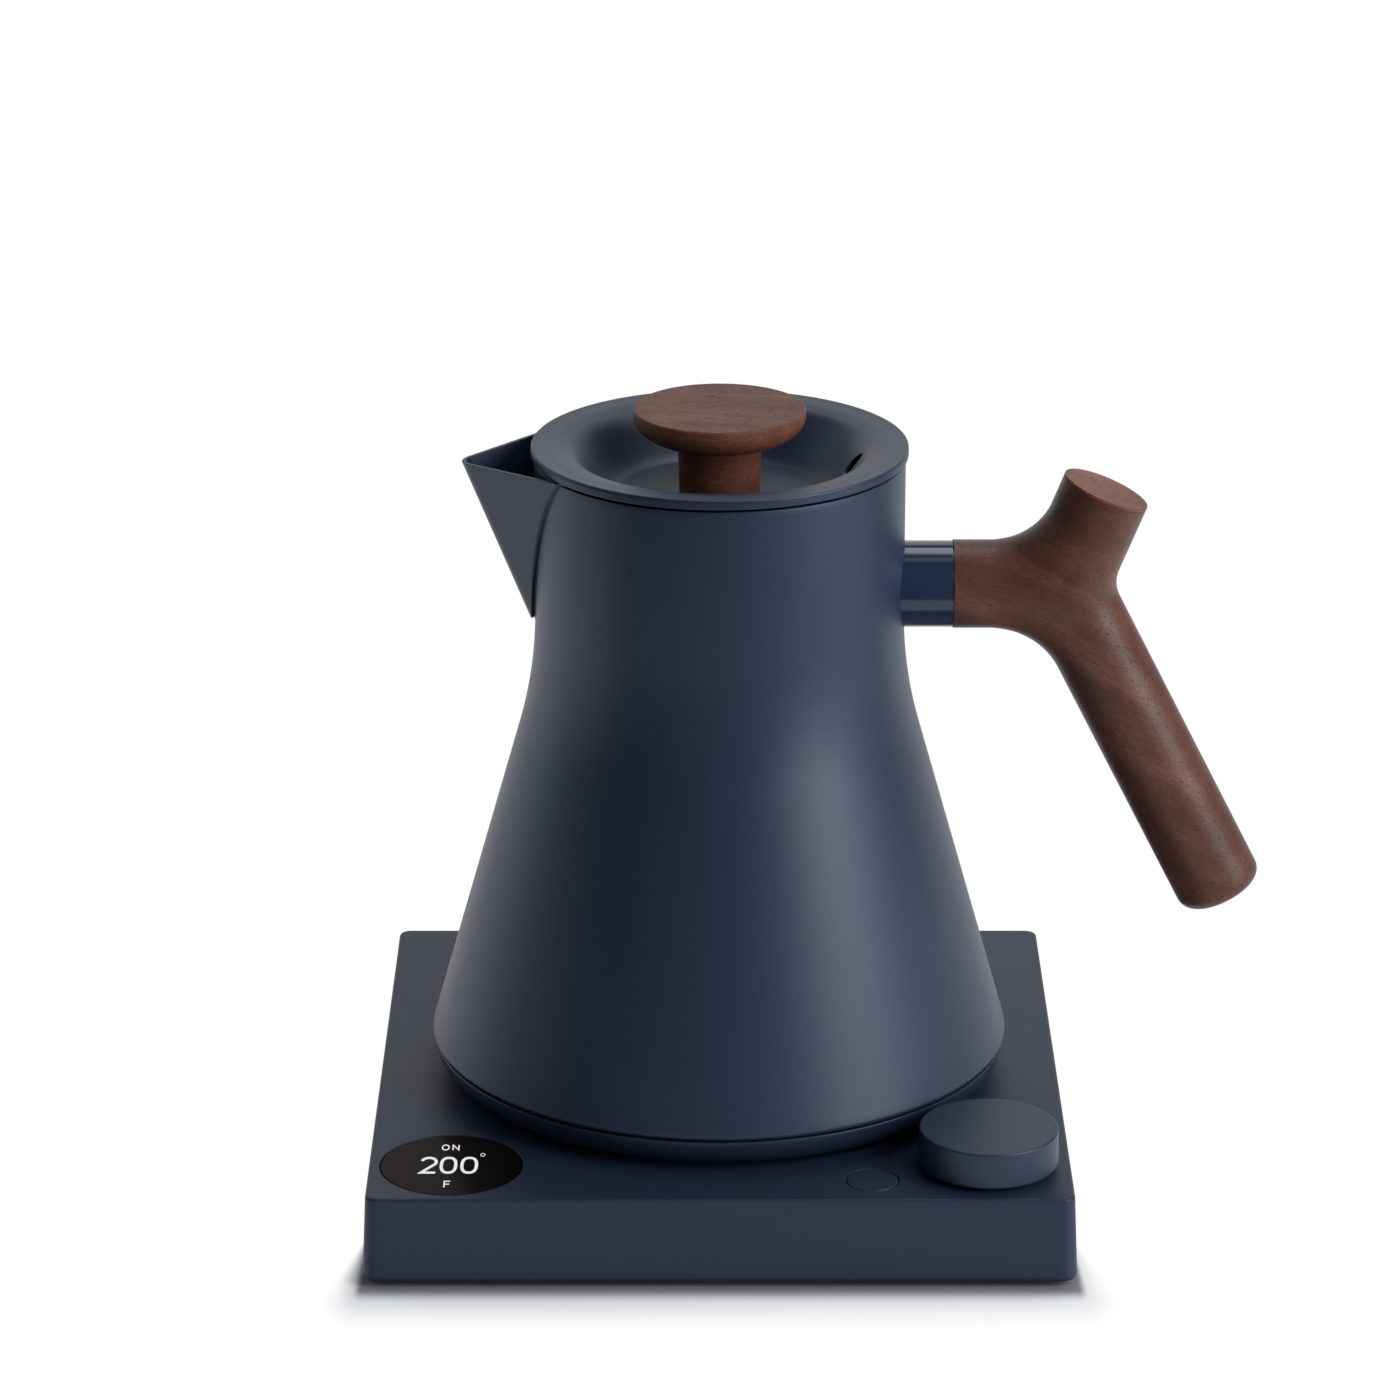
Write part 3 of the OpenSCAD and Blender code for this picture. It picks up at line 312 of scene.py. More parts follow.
def finish_group(name, build, inputs):
    """A shader group of the colour, roughness and normal that build makes from its inputs."""
    tree = bpy.data.node_groups.new(name, "ShaderNodeTree")
    for title, (kind, _) in FINISH_OUTPUTS.items():
        tree.interface.new_socket(name=title, in_out="OUTPUT", socket_type=kind)
    results = build(open_tree(tree, inputs))
    new_node(tree, "NodeGroupOutput", dict(zip(FINISH_OUTPUTS, results)))
    return tree


def fine_grain(given):
    """A sprayed or moulded surface, fine-grained and a little uneven."""
    place, cloud_scale = in_object(home(given["Colour"])), 38.0
    grain = noise(place, given["Grain Scale"], detail=2.0, rough=0.6)
    cloud = noise(place, cloud_scale, detail=3.0, rough=0.55)
    uneven = grain * 0.6 + cloud * 0.4 - 0.5
    bright = output(
        home(place), "ShaderNodeHueSaturation", "Color",
        {"Value": 1.0 + uneven * given["Colour Shift"], "Color": given["Colour"]},
    )
    rough = maths("MULTIPLY_ADD", uneven, given["Roughness Shift"], given["Roughness"], clamp=True)
    return bright, rough, bumped(grain * given["Grain Height"])


def walnut(given):
    """Walnut with figure, fine fibres and short dark pores along the vector's X."""

    def stretched(along, across, detail, rough, distortion=0.0):
        """Noise drawn out along X, its scales in waves to the metre."""
        place = scaled(given["Vector"], (along, across, across))
        return noise(place, 1.0, detail, rough, distortion)

    bands = stretched(14.0, 95.0, 4.0, 0.55, 0.9)
    curl = stretched(75.0, 60.0, 3.0, 0.5, 0.6)
    fibres = stretched(260.0, 2600.0, 3.0, 0.6)
    pores = stretched(520.0, 3300.0, 1.0, 0.5)
    figure = (bands - 0.5) * 0.85 + (curl - 0.5) * (given["Figure"] * 0.5)
    tone = clamped(figure + 0.5 + (fibres - 0.5) * 0.7)
    # Dark to middle over the tone's lower half, then to light over its upper half
    low = mixed(clamped(tone * 2.0), given["Dark"], given["Middle"])
    high = mixed(maths("MULTIPLY_ADD", tone, 2.0, -1.0, clamp=True), low, given["Light"])
    # Pores are the peaks of their noise
    peak, steepness, plain_rough = 0.62, 9.0, 0.42
    pore = clamped((pores - peak) * steepness)
    shade = mixed(pore * 0.75, high, given["Dark"])
    depth = given["Pore Depth"]
    return shade, plain_rough + pore * 0.3, bumped(fibres * (depth * 0.5) - pore * depth, 0.8)


def turned_metal(given):
    """Metal with fine concentric tool marks around the vector's Z axis."""
    flat = scaled(given["Vector"], (1.0, 1.0, 0.0))
    radius = output(home(flat), "ShaderNodeVectorMath", "Value", {0: flat}, operation="LENGTH")
    marks_to_metre, cloud_scale, dull = 3000.0, 90.0, (0.35, 0.34, 0.33, 1)
    marks = noise(combined(radius * marks_to_metre), 1.0, 3.0)
    cloud = noise(given["Vector"], cloud_scale, 3.0)
    tone = mixed(cloud * 0.25, given["Colour"], dull)
    rough = maths("MULTIPLY_ADD", marks - 0.5, 0.25, given["Roughness"], clamp=True)
    return tone, rough, bumped(marks * given["Mark Depth"])


def start_material(name, shading=None):
    """A new material with a Principled shader; returns it, its tree and the shader."""
    material = bpy.data.materials.new(name)
    material.use_nodes = True
    shader = material.node_tree.nodes["Principled BSDF"]
    for key, value in (shading or {}).items():
        shader.inputs[key].default_value = value
    return material, material.node_tree, shader


def finished(name, group, given, mapping=None, shading=None):
    """A material from a group, which reads object coordinates through a mapping if there is one."""
    material, tree, shader = start_material(name, shading)
    if mapping:
        mapping = {"Vector": in_object(tree), **mapping}
        given = {"Vector": output(tree, "ShaderNodeMapping", 0, mapping, vector_type="TEXTURE"), **given}
    made = new_node(tree, "ShaderNodeGroup", given, node_tree=group)
    for title, (_, key) in FINISH_OUTPUTS.items():
        tree.links.new(made.outputs[title], shader.inputs[key])
    return material


def glassy(name):
    """Black glass over the display, with a faint warm cloud in its depth."""
    material, tree, shader = start_material(name, {"Specular IOR Level": 0.015})
    place = in_object(tree)
    middle = controls()[0][0]
    black, brown = (0.0030, 0.0028, 0.0032, 1), (0.020, 0.0125, 0.0105, 1)
    # the cloud is on the left half of the glass
    warm = maths("MULTIPLY_ADD", middle - parted(place)[0], 28.0, 0.5, clamp=True)
    share = clamped(warm * maths("MULTIPLY_ADD", noise(place, 30.0, 2.0), 0.4, 0.8))
    tone = mixed(share, black, brown)
    smear = maths("MULTIPLY_ADD", noise(place, 240.0, 3.0), 0.08, 0.16)
    tree.links.new(tone.socket, shader.inputs["Base Color"])
    tree.links.new(smear.socket, shader.inputs["Roughness"])
    return material


def lit(name, base):
    """Lit signs of the display, a little uneven as a diffused lamp is."""
    shading = {"Base Color": (0.05, 0.05, 0.05, 1), "Emission Strength": 0.92, "Roughness": 0.6}
    material, tree, shader = start_material(name, shading)
    tone = mixed(noise(in_object(tree), 600.0, 2.0), (*[0.9 * part for part in base], 1), (*base, 1))
    tree.links.new(tone.socket, shader.inputs["Emission Color"])
    return material


def make_finishes():
    """Every material of the object, by the name of its finish."""
    colours = bpy.context.scene.kettle_finishes
    grain = finish_group(
        "Fine grain", fine_grain,
        {
            "Colour": (0.03, 0.04, 0.06, 1), "Colour Shift": 0.1, "Roughness": 0.5, "Roughness Shift": 0.05,
            "Grain Scale": 2600.0, "Grain Height": 0.00002,
        },
    )
    wood = finish_group(
        "Walnut", walnut,
        {
            "Vector": None, "Light": (0.2, 0.1, 0.06, 1), "Middle": (0.1, 0.05, 0.03, 1),
            "Dark": (0.03, 0.01, 0.01, 1), "Pore Depth": 0.00004, "Figure": 1.0,
        },
    )
    metal = finish_group(
        "Turned metal", turned_metal,
        {"Vector": None, "Colour": (0.6, 0.6, 0.62, 1), "Roughness": 0.3, "Mark Depth": 0.000006},
    )
    made = {"glass": glassy("Black display glass"), "readout": lit("Display signs", colours.readout)}
    # Sprayed and moulded finishes: their colour, roughness, waves of grain to the metre, its height
    # in metres, and, if not the usual, specular level and tint and how much the colour and the
    # roughness shift
    bluish, plain, black = (0.82, 0.92, 1.0, 1.0), (1.0, 1.0, 1.0, 1.0), (0.014, 0.015, 0.018)
    usual = (0.5, plain, 0.12, 0.1)
    for finish, name, base, rough, scale, height, *own in (
        ("coat", "Matt navy coat", colours.coat, 0.45, 2300, 0.000022, 0.5, bluish),
        ("gloss", "Smooth navy lacquer", colours.gloss, 0.15, 2600, 0.000003, 0.45, plain, 0.06, 0.04),
        ("housing", "Navy moulded housing", colours.housing, 0.5, 1900, 0.00002, 0.36, bluish),
        ("dial", "Satin dial plastic", colours.housing, 0.46, 2100, 0.000018, 0.5, bluish),
        ("skirt", "Dark moulded skirt", colours.skirt, 0.42, 1800, 0.000015, 0.36, bluish),
        ("dark plastic", "Black moulded plastic", black, 0.5, 1500, 0.00002),
        ("rubber", "Black silicone", (0.016, 0.016, 0.018), 0.68, 900, 0.000012, 0.35),
        ("board", "Green solder mask", (0.012, 0.085, 0.035), 0.35, 700, 0.00002, 0.5, plain, 0.3),
        ("winding", "Yellow winding tape", (0.55, 0.40, 0.07), 0.45, 500, 0.00002, 0.5, plain, 0.2),
        ("relay", "Blue relay case", (0.03, 0.08, 0.19), 0.4, 1500, 0.00002),
        ("cable", "Grey cable jacket", (0.20, 0.20, 0.21), 0.5, 1200, 0.00002),
    ):
        specular, tint, shift, rough_shift = (*own, *usual[len(own):])
        given = {
            "Colour": (*base, 1.0), "Colour Shift": shift, "Roughness": rough, "Roughness Shift": rough_shift,
            "Grain Scale": scale, "Grain Height": height,
        }
        shading = {"Specular IOR Level": specular, "Specular Tint": tint}
        made[finish] = finished(name, grain, given, None, shading)
    # Wood: the turn of its fibres about Y and Z in degrees, its place in the grain, figure,
    # lightness and specular level
    for finish, name, turn_y, turn_z, shift, figure, lift, specular in (
        ("walnut", "Walnut handle", 27, 0, (0.013, 0.004, 0.02), 0.4, 0.74, 0.3),
        # painted highlight: the end cap's walnut is lifted well above the handle's, standing in for the top
        # light on its face
        ("walnut cap painted light", "Walnut end cap with painted top light", 15, 20, (0.02, 0.01, 0.4), 0.25, 1.25, 0.1),
        ("walnut knob", "Walnut knob", 4, -8, (0.31, 0.12, 0.05), 0.8, 1.05, 0.1),
    ):
        tones = {"Light": colours.wood_light, "Middle": colours.wood_mid, "Dark": colours.wood_dark}
        given = {key: (*[min(1.0, part * lift) for part in tone], 1.0) for key, tone in tones.items()}
        mapping = {"Location": shift, "Rotation": (0.0, math.radians(turn_y), math.radians(turn_z))}
        made[finish] = finished(
            name, wood, {"Figure": figure, **given}, mapping, {"Specular IOR Level": specular}
        )
    for finish, name, base, rough in (
        ("steel", "Stainless steel", (0.62, 0.62, 0.63), 0.3),
        ("aluminium", "Milled aluminium", (0.70, 0.71, 0.72), 0.38),
        ("brass", "Plain brass", (0.72, 0.52, 0.22), 0.28),
        ("copper", "Bare copper", (0.72, 0.36, 0.22), 0.3),
    ):
        given = {"Colour": (*base, 1.0), "Roughness": rough}
        made[finish] = finished(name, metal, given, {"Location": (0.0, 0.0, 0.0)}, {"Metallic": 1.0})
    return made


CARRIED_OVER = {
    "steel": [
        "kettle_floor", "heating_element", "temperature_probe", "kettle_connector_screws",
        "handle_stud", "counterweight", "knob_screw", "lid_washer", "base_connector_screws",
        "board_screws", "clamp_screws", "encoder_shaft",
    ],
    "aluminium": ["heat_plate", "encoder_body"],
    "brass": ["connector_rings", "contact_pin", "knob_insert", "encoder_rotor"],
    "copper": ["kettle_leads", "socket_contacts", "base_leads"],
    "rubber": ["probe_seal", "lid_gasket", "cord_gland"],
    "dark plastic": [
        "thermal_cutout", "kettle_connector", "base_bottom", "base_connector", "display_module",
        "button_switch", "buzzer", "capacitor", "cord_clamp",
    ],
    "skirt": ["lid_liner"],
    "board": ["control_board", "power_board"],
    "winding": ["transformer"],
    "relay": ["relay", "terminal_block"],
    "cable": ["ribbon_cable"],
}
FINISH = {}


# ---- Mesh tools ----------------------------------------------------------


def rounded(corners, steps=4, support=0.12 * MM):
    """The line through corners (x, y, radius), rounded, with a support point beside each corner."""
    line = []
    for index, (x, y, radius) in enumerate(corners):
        at = Vector((x, y))
        if radius <= 0:
            line.append((x, y))
            continue
        before, after = [Vector(corners[side][:2]) - at for side in (index - 1, index + 1)]
        half = before.angle(after) / 2
        reach = radius / math.tan(half)
        into, out = before.normalized(), after.normalized()
        centre = at + (into + out).normalized() * radius / math.sin(half)
        if before.length > reach + 2 * support:
            line.append(tuple(at + into * (reach + support)))
        first, last = at + into * reach - centre, at + out * reach - centre
        sweep = math.atan2(first.x * last.y - first.y * last.x, first.dot(last))
        for step in range(steps + 1):
            angle = sweep * step / steps
            c, s = math.cos(angle), math.sin(angle)
            line.append((centre.x + first.x * c - first.y * s, centre.y + first.x * s + first.y * c))
        if after.length > reach + 2 * support:
            line.append(tuple(at + out * (reach + support)))
    return line


def angles_from(first, last, steps):
    """Even angles from first to last, both among them."""
    return [first + (last - first) * k / steps for k in range(steps + 1)]


def angles_round(segments):
    """Even angles round a full turn."""
    return [2 * math.pi * k / segments for k in range(segments)]


def strip(first, second, count, ring=True):
    """Faces between two rows of count points, which start at first and second; a ring closes the rows."""
    sides = [(k, (k + 1) % count) for k in range(count if ring else count - 1)]
    return [(first + k, first + m, second + m, second + k) for k, m in sides]


def bridged(rows, ring=True):
    """Points and faces of the strips between rows of equal length."""
    size = len(rows[0])
    faces = [face for i in range(len(rows) - 1) for face in strip(i * size, (i + 1) * size, size, ring)]
    return [point for row in rows for point in row], faces


def turned(name, outline, segments, closed=False, place=None):
    """The mesh of an outline of (radius, height) turned about Z and then moved by place."""
    angles = angles_round(segments)
    points = [Vector((r * math.cos(a), r * math.sin(a), z)) for r, z in outline for a in angles]
    if place is not None:
        points = [place @ point for point in points]
    faces = []
    for i in range(len(outline) if closed else len(outline) - 1):
        j = (i + 1) % len(outline)
        if max(outline[i][0], outline[j][0]) >= ON_AXIS:
            faces += strip(i * segments, j * segments, segments)
    return clean_mesh(name, points, faces)


def clean_mesh(name, points, faces, outward=True):
    """A merged mesh with its normals outward."""
    shape = bmesh.new()
    made = [shape.verts.new(point) for point in points]
    for face in faces:
        shape.faces.new([made[i] for i in face])
    bmesh.ops.remove_doubles(shape, verts=shape.verts, dist=1.5e-6)
    bmesh.ops.dissolve_degenerate(shape, edges=shape.edges, dist=1e-7)
    if outward:
        bmesh.ops.recalc_face_normals(shape, faces=shape.faces)
    mesh = bpy.data.meshes.new(name)
    shape.to_mesh(mesh)
    shape.free()
    return mesh


def joined(parts):
    """Joins lists of points and faces into one."""
    points, faces = [], []
    for more_points, more_faces in parts:
        shift = len(points)
        points += list(more_points)
        faces += [tuple(i + shift for i in face) for face in more_faces]
    return points, faces


def placed(name, data):
    """An object of some data, in the scene."""
    made = bpy.data.objects.new(name, data)
    bpy.context.scene.collection.objects.link(made)
    return made


def show(name, mesh, finish, body, stands_for=(), sharp=38.0):
    """Puts a mesh in the scene as a piece that rides on a body and stands for CAD nodes."""
    mesh.shade_smooth()
    mesh.set_sharp_from_angle(angle=math.radians(sharp))
    mesh.materials.clear()
    mesh.materials.append(FINISH[finish])
    piece = placed(name, mesh)
    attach(piece, body)
    if stands_for:
        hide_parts(*stands_for)
    return piece


def evaluated_mesh(piece, name):
    """The mesh that a piece's modifiers give; the piece itself is removed."""
    graph = bpy.context.evaluated_depsgraph_get()
    mesh = bpy.data.meshes.new_from_object(piece.evaluated_get(graph), depsgraph=graph)
    mesh.name = name
    bpy.data.objects.remove(piece)
    return mesh


def add_modifier(piece, name, kind, **settings):
    """Adds a modifier with its settings."""
    modifier = piece.modifiers.new(name, kind)
    for key, value in settings.items():
        setattr(modifier, key, value)
    return modifier


def node_modifier(piece, tree, values):
    """Adds a Geometry Nodes modifier and sets the inputs that values names."""
    modifier = add_modifier(piece, tree.name, "NODES", node_group=tree)
    for item in tree.interface.items_tree:
        if item.item_type == "SOCKET" and item.in_out == "INPUT" and item.name in values:
            modifier[item.identifier] = values[item.name]


def geometry_tree(name, build, inputs, finish):
    """A Geometry Nodes tree of what build makes from its inputs, made real and given its finish."""
    tree = bpy.data.node_groups.new(name, "GeometryNodeTree")
    for in_out in ("INPUT", "OUTPUT"):
        tree.interface.new_socket(name="Geometry", in_out=in_out, socket_type="NodeSocketGeometry")
    made = build(tree, open_tree(tree, inputs))
    real = output(tree, "GeometryNodeRealizeInstances", 0, {0: made})
    painted = output(tree, "GeometryNodeSetMaterial", 0, {"Geometry": real, "Material": FINISH[finish]})
    new_node(tree, "NodeGroupOutput", {0: painted})
    return tree


def reshaped(geometry, x, y, z):
    """Geometry with its points at x, y and z."""
    moved = {"Geometry": geometry, "Position": combined(x, y, z)}
    return output(home(geometry), "GeometryNodeSetPosition", 0, moved)


def drawn_in(cylinder, height, draw):
    """A cylinder whose lower half draws in: draw gives the share of its radius left at a depth of 0 to 1."""
    x, y, z = parted(output(home(cylinder), "GeometryNodeInputPosition"))
    share = draw(maths("MAXIMUM", z * -2.0 / height, 0.0))
    return reshaped(cylinder, x * share, y * share, z)


def on_points(given, instance):
    """One of the instance on every point of the tree's geometry."""
    spread = {"Points": given["Geometry"], "Instance": instance}
    return output(home(instance), "GeometryNodeInstanceOnPoints", 0, spread)


# ---- Kettle body ---------------------------------------------------------


def flare_radius(z):
    """Outer radius of the body at a height."""
    sizes = bpy.context.scene.kettle_body
    slope = math.tan(sizes.flare)
    corner_z = SHELL_LOW.z + (sizes.body_r - sizes.neck_r) / slope
    centre_z = corner_z + sizes.blend_r * math.tan(sizes.flare / 2)
    if z >= centre_z:
        return sizes.neck_r
    if z > centre_z - sizes.blend_r * math.sin(sizes.flare):
        return sizes.neck_r + sizes.blend_r - math.sqrt(sizes.blend_r**2 - (centre_z - z) ** 2)
    return sizes.body_r - (z - SHELL_LOW.z) * slope


def flared_shell(tree, given):
    """Outer wall of the shell from its rule: a lip, a rolled edge, a straight flare, a blend and a neck."""
    low, rim, body_r, neck_r, flare, blend_r, edge_r, lip = [given[name] for name in SHELL_INPUTS]
    around, rows, lip_rows, arc_rows = 256, 100, 3, 9
    size = {"Size X": 1.0, "Size Y": 1.0, "Vertices X": around + 1, "Vertices Y": rows + 1}
    grid = output(tree, "GeometryNodeMeshGrid", "Mesh", size)
    across, up, _ = parted(output(tree, "GeometryNodeInputPosition"))
    angle = (across + 0.5) * (2 * math.pi)
    row = (up + 0.5) * rows
    slope, sine, cosine = [maths(kind, flare) for kind in ("TANGENT", "SINE", "COSINE")]
    edge_z = low + edge_r
    edge_x = body_r - edge_r * slope - edge_r / cosine
    # Lip, from its inner edge out
    lip_x = edge_x - lip * (1.0 - row / lip_rows)
    # Rolled edge, from straight down to square on the flare
    arc = -QUARTER + (row - lip_rows) / arc_rows * (QUARTER + flare)
    arc_x = edge_x + edge_r * maths("COSINE", arc)
    arc_z = edge_z + edge_r * maths("SINE", arc)
    # Flare, blend and neck, by height
    wall_low = edge_z + edge_r * sine
    wall_z = wall_low + (row - (lip_rows + arc_rows)) / (rows - lip_rows - arc_rows) * (rim - wall_low)
    centre_z = low + (body_r - neck_r) / slope + blend_r * maths("TANGENT", flare * 0.5)
    down = centre_z - wall_z
    blend_x = neck_r + blend_r - maths("SQRT", maths("MAXIMUM", blend_r * blend_r - down * down, 0.0))
    flare_x = body_r - (wall_z - low) * slope
    in_blend = maths("LESS_THAN", down, blend_r * sine)
    in_neck = maths("LESS_THAN", down, 0.0)

    def either(test, no, yes):
        """yes where the test is 1, no where it is 0."""
        return no * (1.0 - test) + yes * test

    wall_x = either(in_neck, either(in_blend, flare_x, blend_x), neck_r)
    past_lip = maths("GREATER_THAN", row, lip_rows - 0.5)
    past_arc = maths("GREATER_THAN", row, lip_rows + arc_rows + 0.5)
    radius = either(past_arc, either(past_lip, lip_x, arc_x), wall_x)
    height = either(past_arc, either(past_lip, low, arc_z), wall_z)
    wall = reshaped(grid, radius * maths("COSINE", angle), radius * maths("SINE", angle), height)
    return output(tree, "GeometryNodeMergeByDistance", 0, {"Geometry": wall, "Distance": 1e-6})


def pouring_holes(tree, given):
    """Cuts a triangle of pouring holes through the wall behind the beak."""
    rows, wall = given["Rows"], given["Wall Radius"]
    spots = output(tree, "GeometryNodePoints", 0, {"Count": rows * (rows + 1.0) * 0.5})
    index = output(tree, "GeometryNodeInputIndex")
    row = maths("FLOOR", (maths("SQRT", maths("MULTIPLY_ADD", index, 8.0, 1.0)) - 1.0) * 0.5)
    across = index - row * (row + 1.0) * 0.5 - row * 0.5
    angle = across * given["Step"] + math.pi
    height = given["Top"] - (rows - 1.0 - row) * given["Rise"]
    moved = reshaped(spots, wall * maths("COSINE", angle), wall * maths("SINE", angle), height)
    drill = {"Vertices": 32, "Radius": given["Hole Radius"], "Depth": 12 * MM}
    drills = {
        "Points": moved, "Instance": output(tree, "GeometryNodeMeshCylinder", "Mesh", drill),
        "Rotation": combined(y=QUARTER, z=angle),
    }
    spread = output(tree, "GeometryNodeInstanceOnPoints", 0, drills)
    real = output(tree, "GeometryNodeRealizeInstances", 0, {0: spread})
    cut = {"Mesh 1": given["Geometry"], "Mesh 2": real}
    return output(tree, "GeometryNodeMeshBoolean", "Mesh", cut, operation="DIFFERENCE")


class KETTLE_OT_shell(bpy.types.Operator):
    """Makes the flared steel body with its pouring holes"""

    bl_idname = "kettle.shell"
    bl_label = "Steel body"

    def execute(self, context):
        sizes = context.scene.kettle_body
        start = placed("shell_start", bpy.data.meshes.new("shell_start"))
        lengths = (
            SHELL_LOW.z, SHELL_HIGH.z, sizes.body_r, sizes.neck_r, sizes.flare, sizes.blend_r,
            sizes.edge_r, sizes.lip,
        )
        outer = dict(zip(SHELL_INPUTS, lengths))
        holes = {
            "Rows": 4, "Hole Radius": sizes.hole_r, "Top": sizes.hole_top, "Rise": sizes.hole_rise,
            "Step": sizes.hole_step, "Wall Radius": sizes.neck_r,
        }
        node_modifier(start, geometry_tree("Flared shell", flared_shell, outer, "coat"), outer)
        add_modifier(start, "wall", "SOLIDIFY", thickness=sizes.wall, offset=-1.0, use_even_offset=True)
        edge = {"width": 0.22 * MM, "segments": 3, "limit_method": "ANGLE", "angle_limit": math.radians(60)}
        add_modifier(start, "edge", "BEVEL", **edge)
        node_modifier(start, geometry_tree("Pouring holes", pouring_holes, holes, "coat"), holes)
        mesh = evaluated_mesh(start, "steel_body")
        if len(mesh.polygons) < 1000:
            raise RuntimeError("the steel body came out empty")
        show("steel_body", mesh, "coat", "kettle", ["kettle_shell"], sharp=45)
        return {"FINISHED"}


class KETTLE_OT_beak(bpy.types.Operator):
    """Makes the folded sheet beak, with its rounded rim and the recess along its weld"""

    bl_idname = "kettle.beak"
    bl_label = "Beak"

    def execute(self, context):
        sizes = context.scene.kettle_body
        lean, bend = sizes.beak_lean, sizes.beak_bend
        rise = Vector((-math.sin(lean), 0.0, math.cos(lean)))
        inward = Vector((math.cos(lean), 0.0, math.sin(lean)))
        tip = Vector((-sizes.beak_reach, 0.0, SHELL_HIGH.z - sizes.beak_drop))
        rim_slope = sizes.beak_drop / (sizes.beak_reach - sizes.neck_r)
        half_arc = bend * math.pi / 4
        sunk, edge = -0.35 * MM, 0.26 * MM
        # Rounding of the rim: shares of the way across, and of the softness down
        rim_curve = ((0.0, 0.45), (0.08, 0.12), (0.24, 0.0), (0.5, 0.0), (0.76, 0.0), (0.92, 0.12))

        def section(s, depth):
            """Point of the folded section at arc length s, depth inside the outer face."""
            side = 1.0 if s >= 0 else -1.0
            s = abs(s)
            radius = bend - depth
            centre = bend * math.sqrt(2)
            if s <= half_arc:
                angle = math.pi - s / bend
                x, y = centre + radius * math.cos(angle), radius * math.sin(angle)
            else:
                run = s - half_arc
                x = centre - radius * math.sqrt(0.5) + run * math.sqrt(0.5)
                y = radius * math.sqrt(0.5) + run * math.sqrt(0.5)
            return tip + inward * x + Vector((0.0, side * y, 0.0))

        def to_rim(point):
            """Height along the fold direction at which a point meets the rim plane."""
            over = tip.z + rim_slope * (point.x - tip.x) - point.z
            return over / (rise.z - rim_slope * rise.x)

        def clearance(point):
            """Distance of a point from the body, across the axis."""
            return math.hypot(point.x, point.y) - flare_radius(point.z)

        def halved(near, far, clear):
            """Halves the way from near to far down to where clear turns from true to false."""
            for _ in range(40):
                middle = (near + far) / 2
                if clear(middle):
                    near = middle
                else:
                    far = middle
            return near

        def to_body(point, top, keep):
            """Height along the fold direction at which a point is keep away from the body."""
            return halved(top, top - 90 * MM, lambda height: clearance(point + rise * height) > keep)

        def widest(depth, keep):
            """Largest arc length whose line still has keep of clearance at the rim."""

            def clear(s):
                point = section(s, depth)
                return clearance(point + rise * to_rim(point)) > keep

            return halved(half_arc, 60 * MM, clear)

        layers = [(0.0, sizes.weld_w), (sizes.weld_d, sunk), (sizes.beak_wall, sunk)]
        reach = [widest(depth, keep) for depth, keep in layers]
        arc_steps, flat_steps, rows = 14, 26, 30
        shares = [-(1 + k / flat_steps) for k in range(flat_steps, 0, -1)]
        shares += [k / arc_steps for k in range(-arc_steps, arc_steps + 1)]
        shares += [1 + k / flat_steps for k in range(1, flat_steps + 1)]

        def along(share, full):
            """Arc length at a share: up to 1 in the bend, and on to 2 along the flat."""
            side, size = math.copysign(1.0, share), abs(share)
            return side * (size * half_arc if size <= 1 else half_arc + (size - 1) * (full - half_arc))

        columns = []
        for share in shares:
            lines = zip(reach, layers)
            outer, weld, inner = [section(along(share, full), depth) for full, (depth, _) in lines]
            tops = [to_rim(point) for point in (outer, weld, inner)]
            feet = [to_body(outer, tops[0], sizes.weld_w), to_body(weld, tops[1], sunk)]
            weld_top = min(tops[1], to_body(weld, tops[1], sizes.weld_w))
            inner_foot = to_body(inner, tops[2], sunk)
            run = tops[0] - feet[0]
            soft = min(edge, run / 3)
            steps = range(rows + 1)
            column = [outer + rise * (tops[0] - soft - (run - 1.6 * soft) * k / rows) for k in steps]
            column.append(outer.lerp(weld, 0.3) + rise * (feet[0] + 0.12 * soft))
            column.append(outer.lerp(weld, 0.8) + rise * feet[0])
            column += [weld + rise * height for height in (weld_top, (weld_top + feet[1]) / 2, feet[1])]
            run = tops[2] - inner_foot
            soft_in = min(edge, run / 3)
            column += [inner + rise * (inner_foot + (run - soft_in) * k / rows) for k in steps]
            # rounded rim from the inner face over to the outer face
            rim_in, rim_out = inner + rise * tops[2], outer + rise * tops[0]
            for across, drop in rim_curve:
                edge_soft = soft_in if across < 0.5 else soft
                column.append(rim_in.lerp(rim_out, across) - rise * drop * edge_soft)
            column.append(rim_out - rise * 0.45 * soft)
            columns.append(column)
        points, faces = bridged(columns)
        size = len(columns[0])
        faces += [tuple(range(size)), tuple(range(len(points) - size, len(points)))]
        show("beak", clean_mesh("beak", points, faces), "coat", "kettle", ["spout"], sharp=50)
        return {"FINISHED"}


